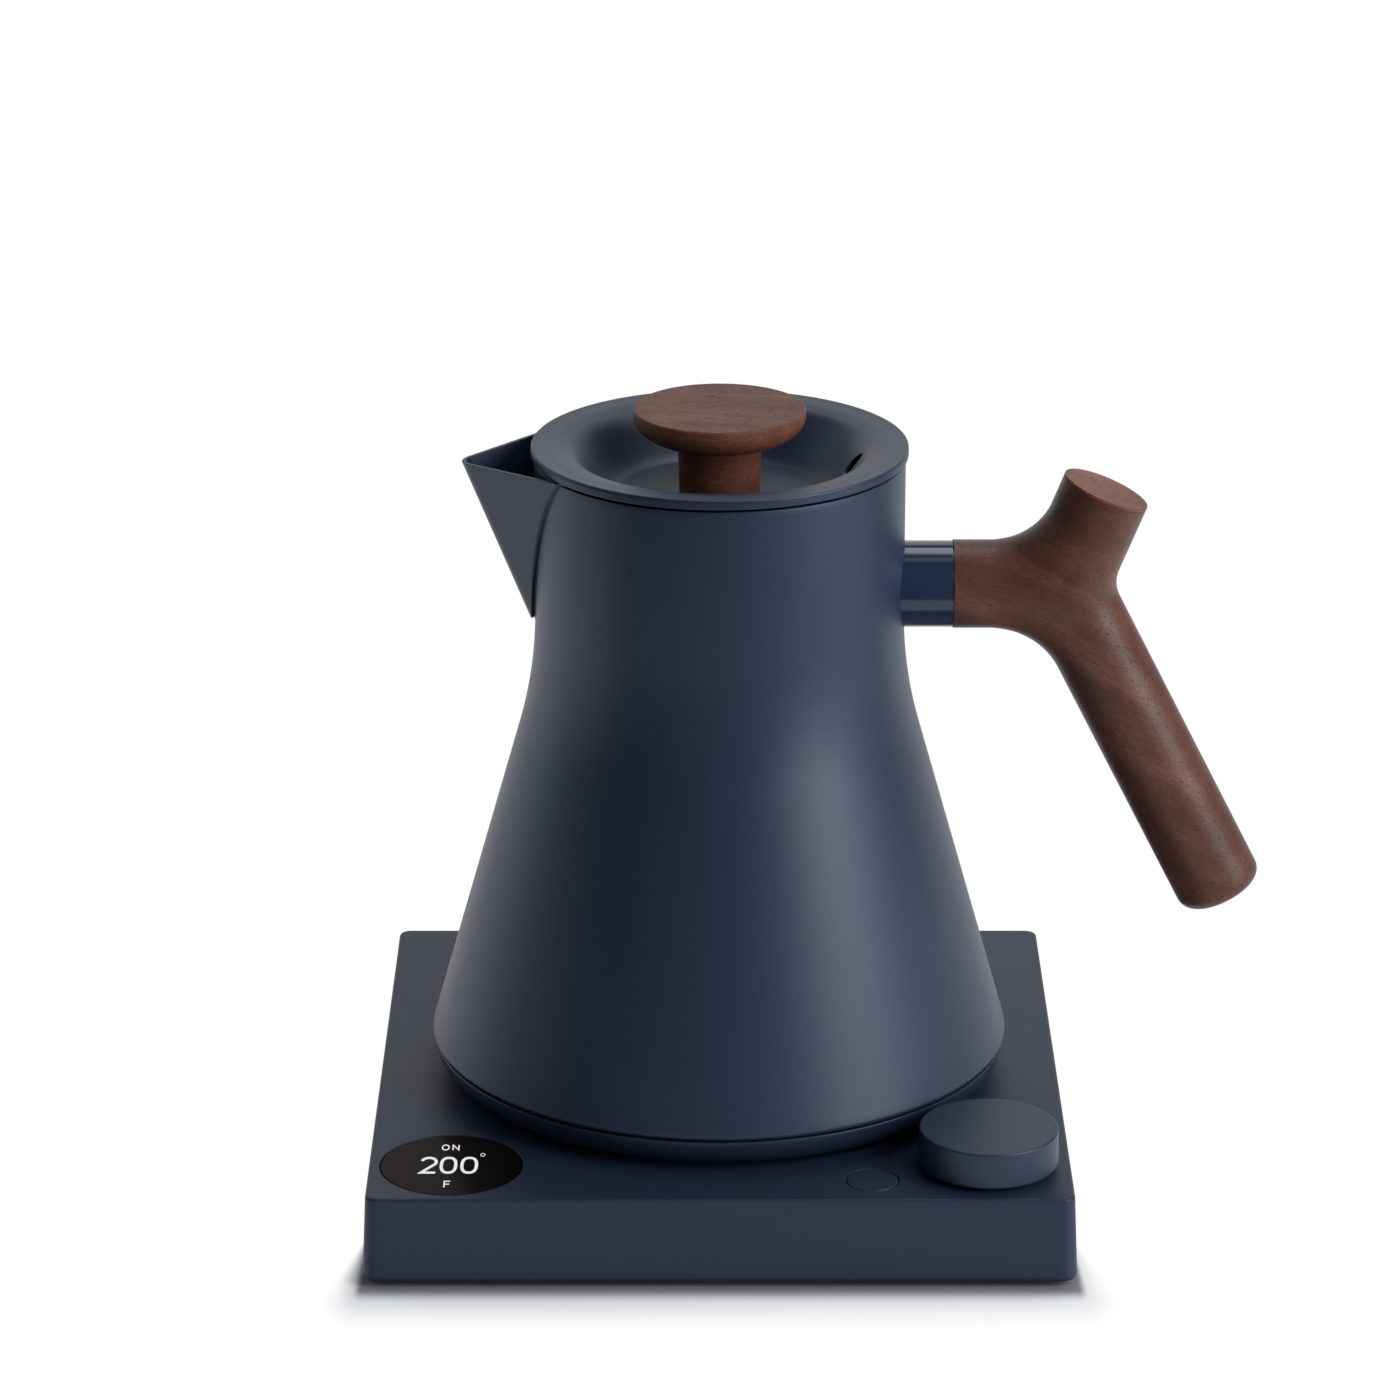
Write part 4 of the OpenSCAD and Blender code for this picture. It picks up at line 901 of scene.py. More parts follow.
class KETTLE_OT_skirt(bpy.types.Operator):
    """Makes the dark moulded cover that closes the kettle from below"""

    bl_idname = "kettle.skirt"
    bl_label = "Skirt under the kettle"

    def execute(self, context):
        low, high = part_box("bottom_cover")
        outer, bend, wall = high.y, 7.8 * MM, 1.8 * MM
        top, under = low.z + 8.7 * MM, low.z + 0.9 * MM
        ring_out, ring_in, cup = 61.3 * MM, 57.8 * MM, 19.6 * MM
        lip_out, lip_in, lip_top = 67.5 * MM, 66.0 * MM, high.z
        line = rounded(
            [
                (cup, under + wall, 0), (cup, under, 0.2 * MM), (ring_in, under, 0.1 * MM),
                (ring_in, low.z, 0.3 * MM), (ring_out, low.z, 0.3 * MM), (ring_out, under, 0),
            ],
            steps=3,
        )
        for a in angles_from(0.0, QUARTER, 12)[:-1]:
            line.append((outer - bend + bend * math.sin(a), under + bend - bend * math.cos(a)))
        line += rounded(
            [
                (outer - 0.02 * MM, top - 0.6 * MM, 0), (outer, top, 0.28 * MM), (lip_out, top, 0.15 * MM),
                (lip_out, lip_top, 0.2 * MM), (lip_in, lip_top, 0.2 * MM), (lip_in, under + wall, 0),
            ]
        )
        mesh = turned("skirt", line, 224, closed=True)
        show("skirt", mesh, "skirt", "kettle", ["bottom_cover"], sharp=45)
        return {"FINISHED"}


# ---- Handle --------------------------------------------------------------


def to_segment(points, a, b):
    """Distance of points from the segment a to b."""
    a, b = np.array(a), np.array(b)
    along = np.clip((points - a) @ (b - a) / ((b - a) @ (b - a)), 0, 1)
    return np.linalg.norm(points - a - along[:, None] * (b - a), axis=1)


def to_arc(points, centre, radius, first, last):
    """Distance of points from an arc in the XZ plane, its angles in radians from +X."""
    x, y, z = points[:, 0] - centre[0], points[:, 1], points[:, 2] - centre[2]
    angle = np.clip(np.arctan2(z, x), first, last)
    return np.sqrt((x - radius * np.cos(angle)) ** 2 + y**2 + (z - radius * np.sin(angle)) ** 2)


def soft_min(a, b, k):
    """The lesser of two distances, blended over k."""
    share = np.maximum(k - np.abs(a - b), 0) / k
    return np.minimum(a, b) - share * share * k * 0.25


class HandleForm:
    """The handle as a distance field: arm, upper branch and grip with the bends between them."""

    def __init__(self, sizes):
        self.s = sizes
        self.joint = Vector((sizes.joint_x, 0.0, ARM_Z))
        self.start = Vector((FERRULE_HIGH.x - 3 * MM, 0.0, ARM_Z))
        self.up = Vector((math.sin(sizes.stub_lean), 0.0, math.cos(sizes.stub_lean)))
        self.down = Vector((math.sin(sizes.grip_lean), 0.0, -math.cos(sizes.grip_lean)))
        self.stub_end = self.joint + self.up * (sizes.stub_len - sizes.cap_t - 0.05 * MM)
        self.grip_end = self.joint + self.down * sizes.grip_len
        self.stub_bend = sizes.stub_fillet + sizes.bar_r
        self.grip_bend = sizes.grip_fillet + sizes.bar_r
        stub_back = -self.stub_bend * math.tan((QUARTER - sizes.stub_lean) / 2)
        grip_back = -self.grip_bend * math.tan((QUARTER - sizes.grip_lean) / 2)
        self.stub_centre = self.joint + Vector((stub_back, 0, self.stub_bend))
        self.grip_centre = self.joint + Vector((grip_back, 0, -self.grip_bend))

    def field(self, points):
        """Distance of points from the handle's surface, negative inside."""
        s = self.s
        # arm and upper branch run on past the cuts at their ends
        arm_start, stub_end = self.start - Vector((4 * MM, 0, 0)), self.stub_end + self.up * 12 * MM
        arm = to_segment(points, arm_start, self.joint) - s.bar_r
        stub = to_segment(points, self.joint, stub_end) - s.stub_r
        # the grip ends in a flat with a rounded edge
        joint, down = np.array(self.joint), np.array(self.down)
        along = (points - joint) @ down
        across = np.linalg.norm(points - joint - along[:, None] * down, axis=1)
        side = across - (s.bar_r - s.grip_end)
        end = along - (s.grip_len - s.grip_end)
        out = np.sqrt(np.maximum(side, 0) ** 2 + np.maximum(end, 0) ** 2)
        grip = out + np.minimum(np.maximum(side, end), 0) - s.grip_end
        ball = to_segment(points, self.joint, self.joint + self.down * 0.001) - s.bar_r
        grip = np.where(along > 0, grip, ball)
        upper = to_arc(points, self.stub_centre, self.stub_bend, -QUARTER, -s.stub_lean) - s.bar_r
        lower = to_arc(points, self.grip_centre, self.grip_bend, s.grip_lean, QUARTER) - s.bar_r
        above = np.minimum(np.minimum(arm, upper), stub)
        below = np.minimum(np.minimum(arm, lower), grip)
        # the corner between the branches is soft only where they part
        parting = np.clip((points[:, 0] - self.joint.x + 18 * MM) / (15 * MM), 0.02, 1.0)
        return soft_min(above, below, s.crotch * parting)

    def settle(self, points, rounds=5):
        """Moves points onto the surface."""
        step = 0.02 * MM
        for _ in range(rounds):
            distance = self.field(points)
            moves = [step * axis for axis in np.eye(3)]
            rises = [self.field(points + move) - self.field(points - move) for move in moves]
            slope = np.stack(rises, axis=1) / (2 * step)
            points = points - slope * (distance / np.maximum((slope**2).sum(1), 0.2))[:, None]
        return points


def tube(path, radius, segments=48):
    """A closed round tube along points in the XZ plane."""
    rings = []
    for index, spot in enumerate(path):
        ahead = (path[min(index + 1, len(path) - 1)] - path[max(index - 1, 0)]).normalized()
        across = Vector((-ahead.z, 0.0, ahead.x))
        sides = [math.cos(a) * across + math.sin(a) * Vector((0, 1, 0)) for a in angles_round(segments)]
        rings.append([spot + radius * side for side in sides])
    points, faces = bridged(rings)
    faces = [(a, d, c, b) for a, b, c, d in faces]
    faces += [tuple(range(segments)), tuple(reversed(range(len(points) - segments, len(points))))]
    return points, faces


def arc_path(centre, radius, first, last, steps=24):
    """Points along an arc in the XZ plane."""
    angles = angles_from(first, last, steps)
    return [centre + radius * Vector((math.cos(a), 0.0, math.sin(a))) for a in angles]


class KETTLE_OT_handle(bpy.types.Operator):
    """Makes the branching walnut handle and the thin cap on its upper branch"""

    bl_idname = "kettle.handle"
    bl_label = "Handle"

    def execute(self, context):
        sizes = context.scene.kettle_handle
        form = HandleForm(sizes)
        inset, run_on, gap = 2 * MM, 4 * MM, 0.05 * MM
        rough = joined(
            [
                tube([form.start, form.joint], sizes.bar_r),
                tube([form.joint - form.up * inset, form.stub_end + form.up * run_on], sizes.stub_r),
                tube([form.joint - form.down * inset, form.grip_end], sizes.bar_r),
                tube(arc_path(form.stub_centre, form.stub_bend, -QUARTER, -sizes.stub_lean), sizes.bar_r),
                tube(arc_path(form.grip_centre, form.grip_bend, QUARTER, sizes.grip_lean), sizes.bar_r),
            ]
        )
        start = placed("handle_start", clean_mesh("handle_start", *rough))
        add_modifier(start, "even mesh", "REMESH", mode="VOXEL", voxel_size=sizes.voxel)
        mesh = evaluated_mesh(start, "handle")
        spots = np.empty(len(mesh.vertices) * 3)
        mesh.vertices.foreach_get("co", spots)
        mesh.vertices.foreach_set("co", form.settle(spots.reshape(-1, 3)).ravel())
        shape = bmesh.new()
        shape.from_mesh(mesh)
        ferrule_face = Vector((FERRULE_HIGH.x + gap, 0, ARM_Z))
        for spot, away in ((ferrule_face, Vector((-1, 0, 0))), (form.stub_end, form.up)):
            whole = list(shape.verts) + list(shape.edges) + list(shape.faces)
            cut = bmesh.ops.bisect_plane(
                shape, geom=whole, dist=1e-7, plane_co=spot, plane_no=away, clear_outer=True
            )["geom_cut"]
            rim = [part for part in cut if isinstance(part, bmesh.types.BMEdge)]
            bmesh.ops.holes_fill(shape, edges=rim, sides=0)
        bmesh.ops.remove_doubles(shape, verts=shape.verts, dist=0.02 * MM)
        bmesh.ops.recalc_face_normals(shape, faces=shape.faces)
        shape.to_mesh(mesh)
        shape.free()
        show("handle", mesh, "walnut", "kettle", ["handle_grip"], sharp=50)
        # Cap, turned about the upper branch's axis
        lean = Matrix.Translation(form.joint) @ Matrix.Rotation(sizes.stub_lean, 4, "Y")
        low, high = sizes.stub_len - sizes.cap_t, sizes.stub_len
        line = rounded(
            [(0, low, 0), (sizes.stub_r, low, 0.12 * MM), (sizes.stub_r, high, 0.16 * MM), (0, high, 0)]
        )
        cap = turned("stub_end_cap", line, 128, place=lean)
        # the cap's walnut is lightened as painted top light
        show("stub_end_cap", cap, "walnut cap painted light", "kettle", ["stub_cap"])
        return {"FINISHED"}


class KETTLE_OT_ferrule(bpy.types.Operator):
    """Makes the lacquered metal ferrule between neck and handle"""

    bl_idname = "kettle.ferrule"
    bl_label = "Ferrule"

    def execute(self, context):
        radius, end, bore = (FERRULE_HIGH.z - FERRULE_LOW.z) / 2, FERRULE_HIGH.x, 3.1 * MM
        sunk = 0.4 * MM
        angles = angles_round(128)
        # the first ring follows the neck, just inside it
        neck_ring = []
        for a in angles:
            y, z = radius * math.cos(a), ARM_Z + radius * math.sin(a)
            neck_ring.append((math.sqrt((flare_radius(z) - sunk) ** 2 - y * y), y, z))
        line = [(radius, end - 9 * MM), (radius, end - 5 * MM)]
        line += rounded([(radius, 0, 0), (radius, end, 0.2 * MM), (bore, end, 0)])[1:]
        line.append((bore, end - 2 * MM))
        rings = [[(x, r * math.cos(a), ARM_Z + r * math.sin(a)) for a in angles] for r, x in line]
        mesh = clean_mesh("ferrule", *bridged([neck_ring] + rings))
        show("ferrule", mesh, "gloss", "kettle", ["handle_ferrule"])
        return {"FINISHED"}


# ---- Lid -----------------------------------------------------------------


def bowl_height(r, floor_r, edge_r, low, high):
    """Height of the lid's bowl at a radius: a smooth funnel with a soft brim."""

    def climb(start, end):
        share = min(1.0, max(0.0, (r - start) / (end - start)))
        return 0.5 - 0.5 * math.cos(math.pi * share)

    share = 0.85 * climb(floor_r, edge_r) + 0.15 * climb(floor_r + 6 * MM, edge_r + BRIM)
    return low + (high - low) * share


class KETTLE_OT_lid(bpy.types.Operator):
    """Makes the lid's rim and bowl, with its steam vent"""

    bl_idname = "kettle.lid"
    bl_label = "Lid"

    def execute(self, context):
        s = context.scene.kettle_lid
        top, rim_depth, bore = LID_HIGH.z, 2.3 * MM, 4.05 * MM
        low, floor = top - rim_depth, KNOB_LOW.z - 0.05 * MM
        edge_top, seam, groove = top - 0.25 * MM, top - s.seam_down, 0.16 * MM
        steps = 44
        bowl = []
        for k in range(steps + 1):
            r = s.bowl_floor_r + (s.bowl_r + BRIM - s.bowl_floor_r) * k / steps
            bowl.append((r, bowl_height(r, s.bowl_floor_r, s.bowl_r, floor, edge_top)))
        line = [(0.0, floor), (bore, floor), (6 * MM, floor), (8.5 * MM, floor)] + bowl
        # flat rim that rises a little, then turns over its edge, with a seam below it
        line += rounded(
            [
                (s.bowl_r + 6 * MM, edge_top + 0.03 * MM, 0),
                (s.rim_r - 0.1 * MM, top, 0.38 * MM),
                (s.rim_r - 0.02 * MM, seam, 0.03 * MM),
                (s.rim_r - groove, seam - 0.05 * MM, 0.03 * MM),
                (s.rim_r, seam - 0.14 * MM, 0.05 * MM),
                (s.rim_r, low, 0.25 * MM),
                (s.rim_r - s.sheet, low, 0.2 * MM),
                (s.rim_r - s.sheet, edge_top - s.sheet, 0),
            ],
            support=0.06 * MM,
        )
        line += [(r, z - s.sheet) for r, z in reversed(bowl)]
        line += [(bore, floor - s.sheet), (0.0, floor - s.sheet)]
        lid = placed("lid_start", turned("lid", line, 224))
        # The vent goes level through the bowl's wall
        vent_z = bowl_height(s.vent_x, s.bowl_floor_r, s.bowl_r, floor, edge_top)
        drill_end = s.bowl_r - 1.5 * MM - s.bowl_floor_r
        drill_line = [(0, 0), (s.vent_r, 0), (s.vent_r, drill_end), (0, drill_end)]
        place = Matrix.Translation((s.bowl_floor_r, 0, vent_z)) @ Matrix.Rotation(QUARTER, 4, "Y")
        drill = placed("vent_drill", turned("vent_drill", drill_line, 64, place=place))
        add_modifier(lid, "vent", "BOOLEAN", object=drill, operation="DIFFERENCE", solver="EXACT")
        mesh = evaluated_mesh(lid, "lid")
        bpy.data.objects.remove(drill)
        show("lid", mesh, "coat", "lid", ["lid_shell"], sharp=42)
        return {"FINISHED"}


class KETTLE_OT_knob(bpy.types.Operator):
    """Makes the walnut mushroom knob"""

    bl_idname = "kettle.knob"
    bl_label = "Knob"

    def execute(self, context):
        s = context.scene.kettle_lid
        top, foot, bore = KNOB_HIGH.z, KNOB_LOW.z, 4.1 * MM
        stem_top = s.stem_r + 0.35 * MM
        cup, cup_h = SHELL_HIGH.z + 3.8 * MM, 6.5 * MM
        stem = [(bore, foot, 0), (s.stem_r, foot, 0.25 * MM), (stem_top, cup - 0.3 * MM, 0)]
        line = [(0, foot)] + rounded(stem, steps=3)[1:]
        for k in range(25):
            a = QUARTER * (1 - k / 24)
            out = stem_top + (s.knob_r - stem_top) * math.cos(a)
            line.append((out, cup + cup_h * (1 - math.sin(a))))
        head = [(s.knob_r, cup + cup_h + 0.02 * MM, 0), (s.knob_r, top, 0.45 * MM), (0, top, 0)]
        line += rounded(head, steps=5)[1:]
        show("knob", turned("knob", line, 192), "walnut knob", "lid", ["lid_knob"], sharp=48)
        return {"FINISHED"}


# ---- Base ----------------------------------------------------------------


def square_loop(half, corner_at, z, steps=8):
    """Points round a square with rounded corners, with a support point beside each corner."""
    radius, support = half - corner_at, 0.4 * MM
    corner = [(half, corner_at - support)]
    for a in angles_from(0.0, QUARTER, steps):
        corner.append((corner_at + radius * math.cos(a), corner_at + radius * math.sin(a)))
    corner.append((corner_at - support, half))
    loop = []
    for quarter in range(4):
        c, s = math.cos(QUARTER * quarter), math.sin(QUARTER * quarter)
        loop += [Vector((x * c - y * s, x * s + y * c, z)) for x, y in corner]
    return loop


def round_loop(centre, radius, z, segments=96):
    """Points round a circle."""
    x, y = centre
    return [Vector((x + radius * math.cos(a), y + radius * math.sin(a), z)) for a in angles_round(segments)]


def filled(loops):
    """A flat face with holes: the first loop is its outside."""
    points = [point for loop in loops for point in loop]
    return points, [tuple(face) for face in tessellate_polygon(loops)]


def controls():
    """Centres of the display, the dial and the button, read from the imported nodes."""
    boxes = ((GLASS_LOW, GLASS_HIGH), (DIAL_LOW, DIAL_HIGH), (BUTTON_LOW, BUTTON_HIGH))
    return [((low.x + high.x) / 2, (low.y + high.y) / 2) for low, high in boxes]


class KETTLE_OT_housing(bpy.types.Operator):
    """Makes the moulded housing of the base with the holes for its controls"""

    bl_idname = "kettle.housing"
    bl_label = "Base housing"

    def execute(self, context):
        s = context.scene.kettle_base
        top, low = HOUSING_HIGH.z, HOUSING_LOW.z
        half_low = HOUSING_HIGH.x
        half_top = half_low - s.draft
        under = top - s.plate
        lean, inset = s.draft / (top - low), 3 * MM
        edge = rounded(
            [
                (half_top - inset, top, 0),
                (half_top, top, s.top_edge),
                (half_low, low, s.low_edge),
                (half_low - s.wall, low, 0.3 * MM),
                (half_top - s.wall + lean * s.plate, under, 0),
            ],
            steps=6, support=0.25 * MM,
        )[1:]
        wall = [square_loop(max(half, s.corner_at + 0.2 * MM), s.corner_at, z) for half, z in edge]
        parts = [bridged(wall)]
        display, dial, button = controls()
        glass_r = (GLASS_HIGH.x - GLASS_LOW.x) / 2 + s.gap
        ledge, ledge_z, bush_r, button_r = 1.35 * MM, GLASS_LOW.z - 0.05 * MM, 3.8 * MM, 6.45 * MM
        # Holes: the centre, the radius, and the corners of a ledge in it
        top_holes, under_holes = [], []
        for centre, radius, step in (
            (display, glass_r, [(glass_r, ledge_z, 0), (glass_r - ledge, ledge_z, 0)]),
            ((0.0, 0.0), s.hub_r, []),
            (dial, bush_r, []),
            (button, button_r, []),
        ):
            corners = [(radius + 1 * MM, top, 0), (radius, top, s.hole_edge), *step]
            corners.append((corners[-1][0], under, 0))
            line = rounded(corners, support=0.06 * MM)[1:]
            loops = [round_loop(centre, r, z) for r, z in line]
            parts.append(bridged(loops))
            top_holes.append(loops[0])
            under_holes.append(loops[-1])
        parts += [filled([wall[0]] + top_holes), filled([wall[-1]] + under_holes)]
        mesh = clean_mesh("housing", *joined(parts))
        show("housing", mesh, "housing", "base", ["base_housing"], sharp=40)
        return {"FINISHED"}


def letter_lines(letter):
    """Lines that draw a letter in a box from -0.5 to 0.5 each way, and whether each closes on itself."""
    if letter in "0Oo":
        power = 0.8 if letter == "0" else 1.0

        def bend(value):
            return 0.5 * math.copysign(abs(value) ** power, value)

        return [([(bend(math.cos(a)), bend(math.sin(a))) for a in angles_round(48)], True)]
    if letter == "2":
        hook = [math.pi * (0.92 - 1.12 * k / 24) for k in range(25)]
        line = [(0.5 * math.cos(a), 0.22 + 0.28 * math.sin(a)) for a in hook]
        return [(line + [(-0.5, -0.5), (0.5, -0.5)], False)]
    if letter == "N":
        return [([(-0.5, -0.5), (-0.5, 0.5), (0.5, -0.5), (0.5, 0.5)], False)]
    if letter == "F":
        return [([(-0.5, -0.5), (-0.5, 0.5), (0.5, 0.5)], False), ([(-0.5, 0.02), (0.36, 0.02)], False)]
    raise RuntimeError(f"no lines for the letter {letter}")


def ribbon(line, width, ring):
    """A flat level ribbon along a line, with mitred corners."""
    count = len(line)
    points = []
    for k, spot in enumerate(line):
        before = line[(k - 1) % count] if ring or k > 0 else None
        after = line[(k + 1) % count] if ring or k < count - 1 else None
        ends = [(a, b) for a, b in ((before, spot), (spot, after)) if a is not None and b is not None]
        ahead = [(b - a).normalized() for a, b in ends]
        mean = (ahead[0] + ahead[-1]).normalized()
        side = Vector((-mean.y, mean.x, 0.0))
        first = Vector((-ahead[0].y, ahead[0].x, 0.0))
        half = 0.5 * width / max(0.4, side.dot(first))
        points += [spot - side * half, spot + side * half]
    faces = []
    for k in range(count if ring else count - 1):
        m = (k + 1) % count
        faces.append((2 * k, 2 * m, 2 * m + 1, 2 * k + 1))
    return points, faces


class KETTLE_OT_display(bpy.types.Operator):
    """Makes the black display glass and the signs lit behind it"""

    bl_idname = "kettle.display"
    bl_label = "Display"

    def execute(self, context):
        x, y = controls()[0]
        radius, low, top = (GLASS_HIGH.x - GLASS_LOW.x) / 2, GLASS_LOW.z, GLASS_HIGH.z
        corners = [(0, low, 0), (radius, low, 0.1 * MM), (radius, top, 0.22 * MM), (0, top, 0)]
        line = rounded(corners)
        glass = turned("glass", line, 160, place=Matrix.Translation((x, y, 0)))
        show("glass", glass, "glass", "base", ["display_glass"])
        sign_z, stretch = top + 0.015 * MM, 1.6
        parts = []
        # Signs: each letter, the middle of its place, its width, its height and the width of its stroke
        for letter, dx, dy, wide, tall, stroke in (
            ("2", -5.5, 0.0, 3.5, 8.5, 0.78),
            ("0", -0.7, 0.0, 3.5, 8.5, 0.78),
            ("0", 4.3, 0.0, 3.5, 8.5, 0.78),
            ("o", 7.4, 6.0, 1.0, 1.7, 0.2),
            ("O", -1.8, 10.3, 1.6, 2.9, 0.36),
            ("N", 0.7, 10.3, 1.4, 2.9, 0.36),
            ("F", -0.6, -10.9, 1.4, 3.4, 0.36),
        ):
            for line, ring in letter_lines(letter):
                # the type is drawn flat and then stretched, so its level strokes are thicker
                drawn = [Vector((u * wide * MM, v * tall * MM / stretch, 0.0)) for u, v in line]
                spots, faces = ribbon(drawn, stroke * MM, ring)
                spots = [Vector((x + dx * MM + p.x, y + dy * MM + p.y * stretch, sign_z)) for p in spots]
                parts.append((spots, faces))
        mesh = clean_mesh("signs", *joined(parts), outward=False)
        show("signs", mesh, "readout", "base")
        return {"FINISHED"}


class KETTLE_OT_dial(bpy.types.Operator):
    """Makes the turning dial and the flush button"""

    bl_idname = "kettle.dial"
    bl_label = "Dial and button"

    def execute(self, context):
        _, dial_at, button_at = controls()
        low, top = DIAL_LOW.z, DIAL_HIGH.z
        wide = (DIAL_HIGH.x - DIAL_LOW.x) / 2
        narrow = wide - 0.2 * MM
        # Under the dial a hub takes the shaft, and a skirt runs round it
        bore, hub, skirt = 2.55 * MM, 5 * MM, narrow - 2.4 * MM
        bore_top, hollow_top = low + 6 * MM, low + 2.6 * MM
        line = rounded(
            [
                (bore, bore_top, 0), (bore, low, 0.1 * MM), (hub, low, 0.1 * MM), (hub, hollow_top, 0.1 * MM),
                (skirt, hollow_top, 0.1 * MM), (skirt, low, 0.2 * MM), (wide, low, 0.45 * MM),
                (narrow, top, 0.42 * MM), (0, top, 0),
            ]
        )
        place = Matrix.Translation((*dial_at, 0))
        dial = turned("dial", [(0, bore_top)] + line, 176, place=place)
        show("dial", dial, "dial", "dial", ["dial_knob"])
        foot, top = BUTTON_LOW.z, BUTTON_HIGH.z
        stem, radius, flange = 1.8 * MM, 6.25 * MM, (BUTTON_HIGH.x - BUTTON_LOW.x) / 2
        flange_top = top - 2.8 * MM
        flange_low = flange_top - 0.7 * MM
        line = rounded(
            [
                (0, foot, 0), (stem, foot, 0.1 * MM), (stem, flange_low, 0),
                (flange, flange_low, 0.1 * MM), (flange, flange_top, 0.1 * MM),
                (radius, flange_top, 0), (radius, top, 0.22 * MM), (0, top, 0),
            ],
            support=0.06 * MM,
        )
        place = Matrix.Translation((*button_at, 0))
        button = turned("button", line, 96, place=place)
        show("button", button, "dial", "button", ["button_cap"])
        return {"FINISHED"}


def screw_on_points(tree, given):
    """A screw on every point: a domed head with a cross recess, and its shank."""
    head_r, head_h, length = given["Head Radius"], given["Head Height"], given["Length"]
    head = {"Vertices": 48, "Side Segments": 6, "Radius": head_r, "Depth": head_h}
    head = output(tree, "GeometryNodeMeshCylinder", "Mesh", head)
    domed = drawn_in(head, head_h, lambda depth: 1.0 - depth * depth * 0.22)
    cut = new_node(tree, "GeometryNodeMeshBoolean", {"Mesh 1": domed}, operation="DIFFERENCE")
    long_arm, short_arm = head_r * 1.1, head_r * 0.24
    sink = combined(z=head_h * -0.5)
    for x, y in ((long_arm, short_arm), (short_arm, long_arm)):
        bar = output(tree, "GeometryNodeMeshCube", "Mesh", {"Size": combined(x, y, head_h)})
        sunk = output(tree, "GeometryNodeTransform", 0, {"Geometry": bar, "Translation": sink})
        tree.links.new(sunk.socket, cut.inputs["Mesh 2"])
    shank = {"Vertices": 24, "Radius": given["Shank Radius"], "Depth": length}
    shank = output(tree, "GeometryNodeMeshCylinder", "Mesh", shank)
    rise = {"Geometry": shank, "Translation": combined(z=length * 0.5)}
    lifted = output(tree, "GeometryNodeTransform", 0, rise)
    screw = new_node(tree, "GeometryNodeJoinGeometry")
    for part in (cut.outputs["Mesh"], lifted.socket):
        tree.links.new(part, screw.inputs[0])
    return on_points(given, Value(screw.outputs[0]))


def foot_on_points(tree, given):
    """A foot on every point, whose lowest part draws in by a quarter round."""
    radius, height = given["Radius"], given["Height"]
    disc = {"Vertices": 96, "Side Segments": 12, "Fill Segments": 3, "Radius": radius, "Depth": height}

    def draw(depth):
        root = maths("SQRT", maths("MAXIMUM", 1.0 - maths("POWER", depth, 4.0), 0.0))
        return 1.0 - (1.0 - root) * 0.06

    return on_points(given, drawn_in(output(tree, "GeometryNodeMeshCylinder", "Mesh", disc), height, draw))


def repeated(name, places, tree, values):
    """The mesh that a tree makes on the places."""
    mesh = bpy.data.meshes.new(name + "_places")
    mesh.from_pydata(places, [], [])
    cloud = placed(name + "_places", mesh)
    node_modifier(cloud, tree, values)
    return evaluated_mesh(cloud, name)


class KETTLE_OT_screws(bpy.types.Operator):
    """Makes the screws that show under the base and under the kettle"""

    bl_idname = "kettle.screws"
    bl_label = "Screws"

    def execute(self, context):
        usual = {"Head Radius": 3 * MM, "Head Height": 1.3 * MM, "Shank Radius": 1.45 * MM, "Length": 12 * MM}
        tree = geometry_tree("Screws", screw_on_points, usual, "steel")
        head_r, base_h, bottom_h = 3.1 * MM, 1.25 * MM, 1.55 * MM
        low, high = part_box("base_screws")
        far, near = high.y - head_r, low.y + head_r
        corners = [(x, y) for x in (-far, far) for y in (near, far)]
        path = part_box("bottom_screws")[1].y - head_r
        circle = [(path * math.cos(a), path * math.sin(a)) for a in map(math.radians, (90, 210, 330))]
        for node, body, head_h, spots in (
            ("base_screws", "base", base_h, corners), ("bottom_screws", "kettle", bottom_h, circle)
        ):
            low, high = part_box(node)
            values = {"Head Radius": head_r, "Head Height": head_h, "Length": high.z - low.z - head_h / 2}
            mesh = repeated(node + "_finished", [(*spot, low.z + head_h / 2) for spot in spots], tree, values)
            show(node + "_finished", mesh, "steel", body, [node], sharp=30)
        return {"FINISHED"}


class KETTLE_OT_feet(bpy.types.Operator):
    """Makes the four rubber feet of the base"""

    bl_idname = "kettle.feet"
    bl_label = "Feet"

    def execute(self, context):
        low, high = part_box("base_feet")
        radius = 8 * MM
        sides = [(low[k] + radius, high[k] - radius) for k in range(2)]
        places = [(x, y, (low.z + high.z) / 2) for x in sides[0] for y in sides[1]]
        tree = geometry_tree("Feet", foot_on_points, {"Radius": radius, "Height": 2.25 * MM}, "rubber")
        mesh = repeated("feet", places, tree, {"Radius": radius, "Height": high.z - low.z})
        show("feet", mesh, "rubber", "base", ["base_feet"])
        return {"FINISHED"}


class KETTLE_OT_inner_finishes(bpy.types.Operator):
    """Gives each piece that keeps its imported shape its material"""

    bl_idname = "kettle.inner_finishes"
    bl_label = "Finishes of the inner parts"

    def execute(self, context):
        for finish, nodes in CARRIED_OVER.items():
            for name in nodes:
                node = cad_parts.get(name)
                if node is None:
                    raise RuntimeError(f"the packed model has no node {name}")
                node.data.materials.clear()
                node.data.materials.append(FINISH[finish])
        return {"FINISHED"}


# ---- Studio --------------------------------------------------------------


def soft_box(name, place, width, height, power, tint):
    """A large soft lamp that looks at the middle of the kettle."""
    aim = Vector((0.0, 0.0, 0.09))
    data = bpy.data.lights.new(name, "AREA")
    data.shape = "RECTANGLE"
    data.size, data.size_y = width, height
    data.energy = power
    data.color = tint
    lamp = placed(name, data)
    lamp.location = place
    lamp.rotation_euler = (aim - Vector(place)).to_track_quat("-Z", "Y").to_euler()


